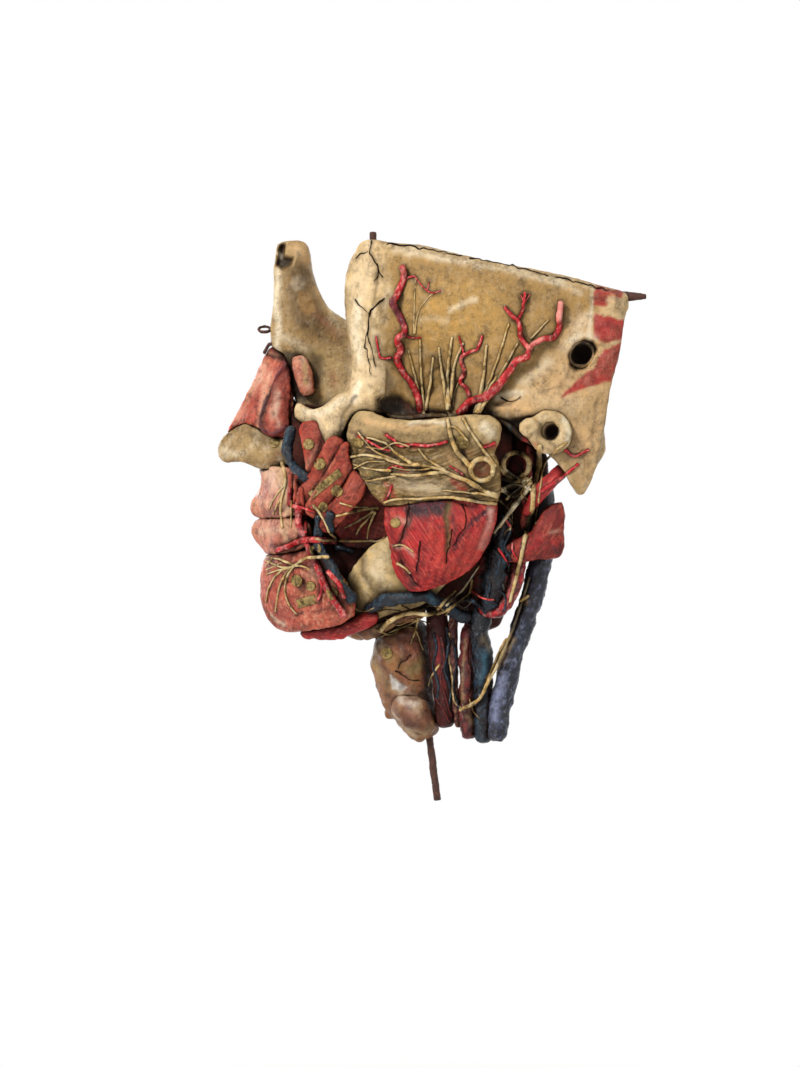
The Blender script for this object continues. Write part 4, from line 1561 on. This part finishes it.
def meshed(name, parts):
    """One mesh from several lists of vertices and faces."""
    vertices, faces = [], []
    for some, sides in parts:
        faces.extend([tuple(index + len(vertices) for index in face) for face in sides])
        vertices.extend(np.asarray(some).tolist())
    mesh = bpy.data.meshes.new(name)
    mesh.from_pydata(vertices, [], faces)
    mesh.update()
    return mesh


def lay_cords(lie, name, cords, coat, body, nodes=()):
    """Lays a group of cords on a body as one piece."""
    flatness = lie["flatness"]
    bpy.context.view_layer.update()
    graph = bpy.context.evaluated_depsgraph_get()
    parts = []
    for radius, end_share, route in each_cord(cords):
        places = settled(graph, route, body, radius * flatness * (1 - lie["sink"]), lie["stray"])
        radii = radius * np.linspace(1, end_share, len(places))
        radii = radii * (1 + lie["waver"] * noise(places, WAVER_SPAN, WAVER_SHIFT))
        parts.append(tube(places, radii, flatness))
    mesh = meshed(name, parts)
    put_paint(mesh, coat, PAINTS.get(name, ()))
    return finished(name, mesh, painted_pulp(coat), nodes, body)


def lay_all(groups, lie=LYING):
    """Lays each group of cords in turn."""
    for row in groups:
        lay_cords(lie, *row)


def lay_label(graph, outline, body):
    """One piece of paper, pressed onto the surface: its rim, rings towards its middle, and the middle."""
    rim = np.array(outline, float)
    middle = rim.mean(0)
    rings = max(2, int(np.linalg.norm(rim - middle, axis=1).max() / LABEL_STEP))
    shares = [1, *np.linspace(1, 0, rings + 1)[:-1]]
    spots = np.concatenate([middle + (rim - middle) * share for share in shares] + [[middle]])
    across, up = from_side(spots)
    depth = np.array([surface_depth(graph, *place, body) for place in zip(across, up)])
    depth = np.where(np.isnan(depth), np.nanmedian(depth), depth)
    sides = len(rim)
    lift = np.full(len(spots), LABEL_RISE)
    lift[:sides] = -LABEL_SKIRT
    places = np.stack([across, depth - lift, up], axis=1)
    hub = len(spots) - 1
    inner = hub - sides
    faces = []
    for turn in range(sides):
        after = (turn + 1) % sides
        for foot in range(0, inner, sides):
            faces.append((foot + turn, foot + sides + turn, foot + sides + after, foot + after))
        faces.append((inner + turn, hub, inner + after))
    faces.append(tuple(range(sides)))
    return places, faces


def strip(start, end, half_width):
    """The outline of a strip of paper between two places, in pixels."""
    start, end = np.array(start, float), np.array(end, float)
    run = (end - start) / np.linalg.norm(end - start)
    side = np.array([-run[1], run[0]]) * half_width
    shares = np.linspace(0, 1, STRIP_POINTS)
    upper = [start + (end - start) * share + side for share in shares]
    lower = [start + (end - start) * share - side for share in shares[::-1]]
    return upper + lower


def lay_labels(name, discs, strips, body):
    """Glues a body's paper labels onto it as one piece."""
    bpy.context.view_layer.update()
    graph = bpy.context.evaluated_depsgraph_get()
    outlines = [circle(*disc)[:-1] for disc in discs] + [strip(*row) for row in strips]
    mesh = meshed(name, [lay_label(graph, outline, body) for outline in outlines])
    put_paint(mesh, LABEL_COAT)
    return finished(name, mesh, painted_pulp(LABEL_COAT), (), body)


def add(tree, kind, inputs=(), **settings):
    """Adds a node with its settings, and gives each input its value or its link."""
    node = tree.nodes.new(kind)
    for name, setting in settings.items():
        setattr(node, name, setting)
    for socket, value in dict(inputs).items():
        if isinstance(value, bpy.types.NodeSocket):
            tree.links.new(value, node.inputs[socket])
        else:
            node.inputs[socket].default_value = value
    return node


def blank(name):
    """A new material without nodes."""
    material = bpy.data.materials.new(name)
    material.use_nodes = True
    material.node_tree.nodes.clear()
    return material


# Paper pulp, pressed in a mould and built up in layers by hand. It is covered with gesso, painted with
# glue paint and varnished: the eye sees soft lumps, uneven opaque paint with brush marks, dark varnish and
# dirt in every crease, pale worn ridges, fine cracks, and a broken, rather sharp gloss.
def painted_pulp(coat):
    """The paint and varnish of one kind of surface."""
    found = bpy.data.materials.get(coat["name"])
    if found:
        return found
    material = blank(coat["name"])
    tree = material.node_tree
    place = add(tree, "ShaderNodeTexCoord").outputs["Object"]
    patterns = {}
    for name, span in (("mottle", coat["mottle"]), ("blotch", BLOTCH), ("speckle", SPECKLE)):
        cloud = {"Scale": 1 / span, **BRUSH, "Vector": place}
        patterns[name] = add(tree, "ShaderNodeTexNoise", cloud).outputs["Fac"]
    width, length = coat["fibre"]
    grain = {"Rotation": (0, coat["lean"], 0), "Scale": (width, width, length), "Vector": place}
    turned = add(tree, "ShaderNodeMapping", grain, vector_type="TEXTURE").outputs["Vector"]
    patterns["streaks"] = add(tree, "ShaderNodeTexNoise", {**FIBRE, "Vector": turned}).outputs["Fac"]
    tint = add(tree, "ShaderNodeAttribute", attribute_name="tint")
    patterns["stroked"] = tint.outputs["Alpha"]
    reach = {"Distance": CREASE_REACH}
    crease = add(tree, "ShaderNodeAmbientOcclusion", reach, samples=CREASE_SAMPLES).outputs["AO"]
    patterns["crease"] = crease
    patterns["ridge"] = add(tree, "ShaderNodeNewGeometry").outputs["Pointiness"]
    stray = add(tree, "ShaderNodeTexNoise", {**CRACKLE, "Vector": place}).outputs["Color"]
    warp = {0: stray, 1: (CRACKLE_WARP,) * 3, 2: place}
    shifted = add(tree, "ShaderNodeVectorMath", warp, operation="MULTIPLY_ADD").outputs["Vector"]
    cells = {"Scale": CRACKLE["Scale"], "Vector": shifted}
    cracks = add(tree, "ShaderNodeTexVoronoi", cells, feature="DISTANCE_TO_EDGE")
    patterns["lines"] = cracks.outputs["Distance"]

    colour = tint.outputs["Color"]
    for name, steer, none, full, strength, mask in LAYERS:
        share = coat[strength] if isinstance(strength, str) else strength
        steps = {"Value": patterns[steer], "From Min": none, "From Max": full, "To Max": share}
        factor = add(tree, "ShaderNodeMapRange", steps).outputs["Result"]
        if mask:
            source, shut, free = MASKS[mask]
            steps = {"Value": patterns[source], "From Min": shut, "From Max": free}
            gate = add(tree, "ShaderNodeMapRange", steps).outputs["Result"]
            factor = add(tree, "ShaderNodeMath", {0: factor, 1: gate}, operation="MULTIPLY").outputs[0]
        blend = {SHARE_SOCKET: factor, FIRST_SOCKET: colour, SECOND_SOCKET: tuple(tone(coat[name]))}
        kind = "OVERLAY" if name == "pale" else "MIX"
        mix = add(tree, "ShaderNodeMix", blend, data_type="RGBA", blend_type=kind)
        colour = mix.outputs[MIXED_SOCKET]

    relief = patterns["blotch"]
    for name, share in (("speckle", GRIT_SHARE), ("streaks", coat["streaks"])):
        marks = {0: patterns[name], 1: share, 2: relief}
        relief = add(tree, "ShaderNodeMath", marks, operation="MULTIPLY_ADD").outputs[0]
    normal = add(tree, "ShaderNodeBump", {**PULP_BUMP, "Height": relief}).outputs["Normal"]
    spread = {"To Min": coat["roughness"] - GLOSSIER, "To Max": coat["roughness"] + DULLER}
    dull = {"Value": patterns["speckle"], **DULL_SPOTS, **spread}
    roughness = add(tree, "ShaderNodeMapRange", dull).outputs["Result"]
    film = {"Value": crease, **FILM, "To Max": coat["varnish"]}
    varnish = add(tree, "ShaderNodeMapRange", film).outputs["Result"]
    skin = {"Base Color": colour, "Roughness": roughness, "Normal": normal}
    gloss = {"Coat Weight": varnish, "Coat Normal": normal}
    shader = add(tree, "ShaderNodeBsdfPrincipled", {**skin, **gloss, **FINISH}).outputs["BSDF"]
    add(tree, "ShaderNodeOutputMaterial", {"Surface": shader})
    return material


# Forged iron with a dull film of rust: rough and brown, with hardly a bright spot.
def forged_iron():
    """The iron of rod, pegs and wires."""
    name = "forged_iron_rusted"
    found = bpy.data.materials.get(name)
    if found:
        return found
    material = blank(name)
    tree = material.node_tree
    place = add(tree, "ShaderNodeTexCoord").outputs["Object"]
    scale = add(tree, "ShaderNodeTexNoise", {**IRON_GRAIN, "Vector": place}).outputs["Fac"]
    film = add(tree, "ShaderNodeMapRange", {"Value": scale, **RUST_FILM}).outputs["Result"]
    blend = {SHARE_SOCKET: film, FIRST_SOCKET: tuple(tone("iron")), SECOND_SOCKET: tuple(tone("rust"))}
    colour = add(tree, "ShaderNodeMix", blend, data_type="RGBA").outputs[MIXED_SOCKET]
    normal = add(tree, "ShaderNodeBump", {**IRON_BUMP, "Height": scale}).outputs["Normal"]
    roughness = add(tree, "ShaderNodeMapRange", {"Value": film, **RUST_DULLNESS}).outputs["Result"]
    metal = {"Base Color": colour, "Metallic": RUSTED_METAL, "Roughness": roughness, "Normal": normal}
    shader = add(tree, "ShaderNodeBsdfPrincipled", metal).outputs["BSDF"]
    add(tree, "ShaderNodeOutputMaterial", {"Surface": shader})
    return material


def seen_by_eye(tree):
    """One where a ray comes straight from the eye, or by way of gloss or glass, and none elsewhere."""
    path = add(tree, "ShaderNodeLightPath")
    seen = path.outputs["Is Camera Ray"]
    for kind in ("Is Glossy Ray", "Is Transmission Ray"):
        either = {0: seen, 1: path.outputs[kind]}
        seen = add(tree, "ShaderNodeMath", either, operation="MAXIMUM").outputs[0]
    return seen


# Matt painted board: it takes a soft shadow without any gloss, and fades to the white backdrop.
def pale_floor():
    """The floor of the stage."""
    material = blank("matt_board_pale")
    tree = material.node_tree
    place = add(tree, "ShaderNodeTexCoord").outputs["Object"]
    reach = add(tree, "ShaderNodeVectorMath", {0: place}, operation="LENGTH").outputs["Value"]
    edge = {"Value": reach, "From Min": FLOOR_NEAR, "From Max": FLOOR_FAR}
    far = add(tree, "ShaderNodeMapRange", edge, interpolation_type="SMOOTHSTEP").outputs["Result"]
    factor = add(tree, "ShaderNodeMath", {0: far, 1: seen_by_eye(tree)}, operation="MULTIPLY").outputs[0]
    board = add(tree, "ShaderNodeBsdfDiffuse", {"Color": tuple(tone("floor"))}).outputs["BSDF"]
    white = add(tree, "ShaderNodeEmission", {"Color": WHITE, "Strength": 1}).outputs["Emission"]
    mix = add(tree, "ShaderNodeMixShader", {0: factor, 1: board, 2: white}).outputs["Shader"]
    add(tree, "ShaderNodeOutputMaterial", {"Surface": mix})
    return material


def dress_all(rows):
    """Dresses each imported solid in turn."""
    for node, surface, coat in rows:
        dress(node, (node,), surface, coat)


class SECTION_OT_stage(bpy.types.Operator):
    """Pale floor, soft lamps and the camera"""

    bl_idname = "section.stage"
    bl_label = "Stage"

    def execute(self, context):
        half = FLOOR_SIZE / 2
        corners = [(-half, -half, 0), (half, -half, 0), (half, half, 0), (-half, half, 0)]
        mesh = bpy.data.meshes.new("floor")
        mesh.from_pydata(corners, [], [(0, 1, 2, 3)])
        mesh.materials.append(pale_floor())
        floor = bpy.data.objects.new("floor", mesh)
        floor.location.z = FLOOR_LEVEL
        context.scene.collection.objects.link(floor)
        aim = Vector(LAMP_AIM)
        for lamp in LAMPS:
            light = bpy.data.lights.new(lamp["name"], "AREA")
            light.size = lamp["size"]
            light.energy = lamp["power"]
            holder = bpy.data.objects.new(lamp["name"], light)
            holder.location = lamp["place"]
            holder.rotation_euler = (aim - holder.location).to_track_quat("-Z", "Y").to_euler()
            context.scene.collection.objects.link(holder)
        world = bpy.data.worlds.new("white_room")
        world.use_nodes = True
        tree = world.node_tree
        tree.nodes.clear()
        light = add(tree, "ShaderNodeBackground", {"Color": WHITE, "Strength": ROOM_LIGHT}).outputs[0]
        white = add(tree, "ShaderNodeBackground", {"Color": WHITE, "Strength": 1}).outputs[0]
        mix = add(tree, "ShaderNodeMixShader", {0: seen_by_eye(tree), 1: light, 2: white}).outputs["Shader"]
        add(tree, "ShaderNodeOutputWorld", {"Surface": mix})
        context.scene.world = world
        context.scene.view_settings.view_transform = "Standard"
        lens = bpy.data.cameras.new("camera")
        lens.lens = LENS
        lens.sensor_width = SENSOR
        lens.clip_end = CLIP_DEPTH
        camera = bpy.data.objects.new("camera", lens)
        camera.location = (CAMERA_PLACE[0], -context.scene.section_sizes.camera_distance, CAMERA_PLACE[2])
        camera.rotation_euler = (math.pi / 2, 0, 0)
        context.scene.collection.objects.link(camera)
        context.scene.camera = camera
        return {"FINISHED"}


class SECTION_OT_bones(bpy.types.Operator):
    """Skull wall, forehead, brow and cheek bone in one moulded sheet, and the ear canal"""

    bl_idname = "section.bones"
    bl_label = "Bones"

    def execute(self, context):
        dress(*BONES)
        dress_all(EAR)
        return {"FINISHED"}


class SECTION_OT_cores(bpy.types.Operator):
    """Cores and the jaw bone"""

    bl_idname = "section.cores"
    bl_label = "Cores and jaw"

    def execute(self, context):
        dress_all(CORES)
        return {"FINISHED"}


class SECTION_OT_face(bpy.types.Operator):
    """Nose, lips, chin and cheek"""

    bl_idname = "section.face"
    bl_label = "Face"

    def execute(self, context):
        dress_all(FACE)
        return {"FINISHED"}


class SECTION_OT_straps(bpy.types.Operator):
    """Straps of the face and under the chin"""

    bl_idname = "section.straps"
    bl_label = "Straps"

    def execute(self, context):
        dress_all(STRAPS)
        return {"FINISHED"}


class SECTION_OT_throat(bpy.types.Operator):
    """Larynx, gland and the muscles of the throat"""

    bl_idname = "section.throat"
    bl_label = "Throat"

    def execute(self, context):
        dress_all(THROAT)
        return {"FINISHED"}


class SECTION_OT_deep(bpy.types.Operator):
    """Muscles behind the jaw"""

    bl_idname = "section.deep"
    bl_label = "Behind the jaw"

    def execute(self, context):
        dress_all(DEEP)
        return {"FINISHED"}


class SECTION_OT_neck_vessels(bpy.types.Operator):
    """Arteries, veins and nerves of the neck"""

    bl_idname = "section.neck_vessels"
    bl_label = "Neck vessels"

    def execute(self, context):
        dress_all(NECK_VESSELS)
        return {"FINISHED"}


class SECTION_OT_block(bpy.types.Operator):
    """The lift-off jaw block with its nerves and vessels"""

    bl_idname = "section.block"
    bl_label = "Jaw block"

    def execute(self, context):
        dress(*SHEET)
        dress_all(BLOCK)
        lay_all(BLOCK_CRACKS, CRACKED)
        lay_labels("block_labels", BLOCK_LABELS, (), LIFTED)
        lay_all(BLOCK_CORDS)
        return {"FINISHED"}


class SECTION_OT_cracks(bpy.types.Operator):
    """Open cracks in bones and larynx"""

    bl_idname = "section.cracks"
    bl_label = "Cracks"

    def execute(self, context):
        lay_all(HEAD_CRACKS, CRACKED)
        return {"FINISHED"}


class SECTION_OT_labels(bpy.types.Operator):
    """Paper labels on the head half"""

    bl_idname = "section.labels"
    bl_label = "Labels"

    def execute(self, context):
        lay_labels("head_labels", HEAD_LABELS, HEAD_STRIPS, HALF)
        return {"FINISHED"}


class SECTION_OT_temple(bpy.types.Operator):
    """Arteries and nerves of the temple"""

    bl_idname = "section.temple"
    bl_label = "Temple"

    def execute(self, context):
        lay_all(TEMPLE_CORDS)
        return {"FINISHED"}


class SECTION_OT_nerves(bpy.types.Operator):
    """Nerves behind the jaw, on the neck and on the throat"""

    bl_idname = "section.nerves"
    bl_label = "Neck nerves"

    def execute(self, context):
        lay_all(DEEP_CORDS)
        lay_all(THROAT_CORDS)
        return {"FINISHED"}


class SECTION_OT_cheek(bpy.types.Operator):
    """Vessels and nerves of the cheek and chin"""

    bl_idname = "section.cheek"
    bl_label = "Cheek"

    def execute(self, context):
        dress_all(CHEEK)
        lay_all(CHEEK_CORDS)
        return {"FINISHED"}


class SECTION_OT_iron(bpy.types.Operator):
    """Rod, pegs, prong and wires"""

    bl_idname = "section.iron"
    bl_label = "Iron fittings"

    def execute(self, context):
        for node in IRON:
            dress(node, (node,), FORGED, None)
        return {"FINISHED"}


OPERATORS = (
    SECTION_OT_stage,
    SECTION_OT_bones,
    SECTION_OT_cores,
    SECTION_OT_face,
    SECTION_OT_straps,
    SECTION_OT_throat,
    SECTION_OT_deep,
    SECTION_OT_neck_vessels,
    SECTION_OT_block,
    SECTION_OT_cracks,
    SECTION_OT_labels,
    SECTION_OT_temple,
    SECTION_OT_nerves,
    SECTION_OT_cheek,
    SECTION_OT_iron,
)


class SECTION_PT_panel(bpy.types.Panel):
    """Lists the steps that build the section"""

    bl_idname = "SECTION_PT_panel"
    bl_label = "Head section"
    bl_space_type = "VIEW_3D"
    bl_region_type = "UI"
    bl_category = "Head section"

    def draw(self, context):
        for operator in OPERATORS:
            self.layout.operator(operator.bl_idname)
        for group in (context.scene.section_sizes, context.scene.section_colours):
            for name in group.__annotations__:
                self.layout.prop(group, name)


CLASSES = (SectionColours, SectionSizes, *OPERATORS, SECTION_PT_panel)


def register():
    """Registers the classes and the section's own properties."""
    for cls in CLASSES:
        bpy.utils.register_class(cls)
    bpy.types.Scene.section_colours = PointerProperty(type=SectionColours)
    bpy.types.Scene.section_sizes = PointerProperty(type=SectionSizes)


def unregister():
    """Takes them out again."""
    del bpy.types.Scene.section_sizes
    del bpy.types.Scene.section_colours
    for cls in reversed(CLASSES):
        bpy.utils.unregister_class(cls)


def main():
    """Builds the section and notes its size."""
    register()
    for operator in OPERATORS:
        getattr(bpy.ops.section, operator.bl_idname.split(".")[1])()


if __name__ == "__main__":
    main()
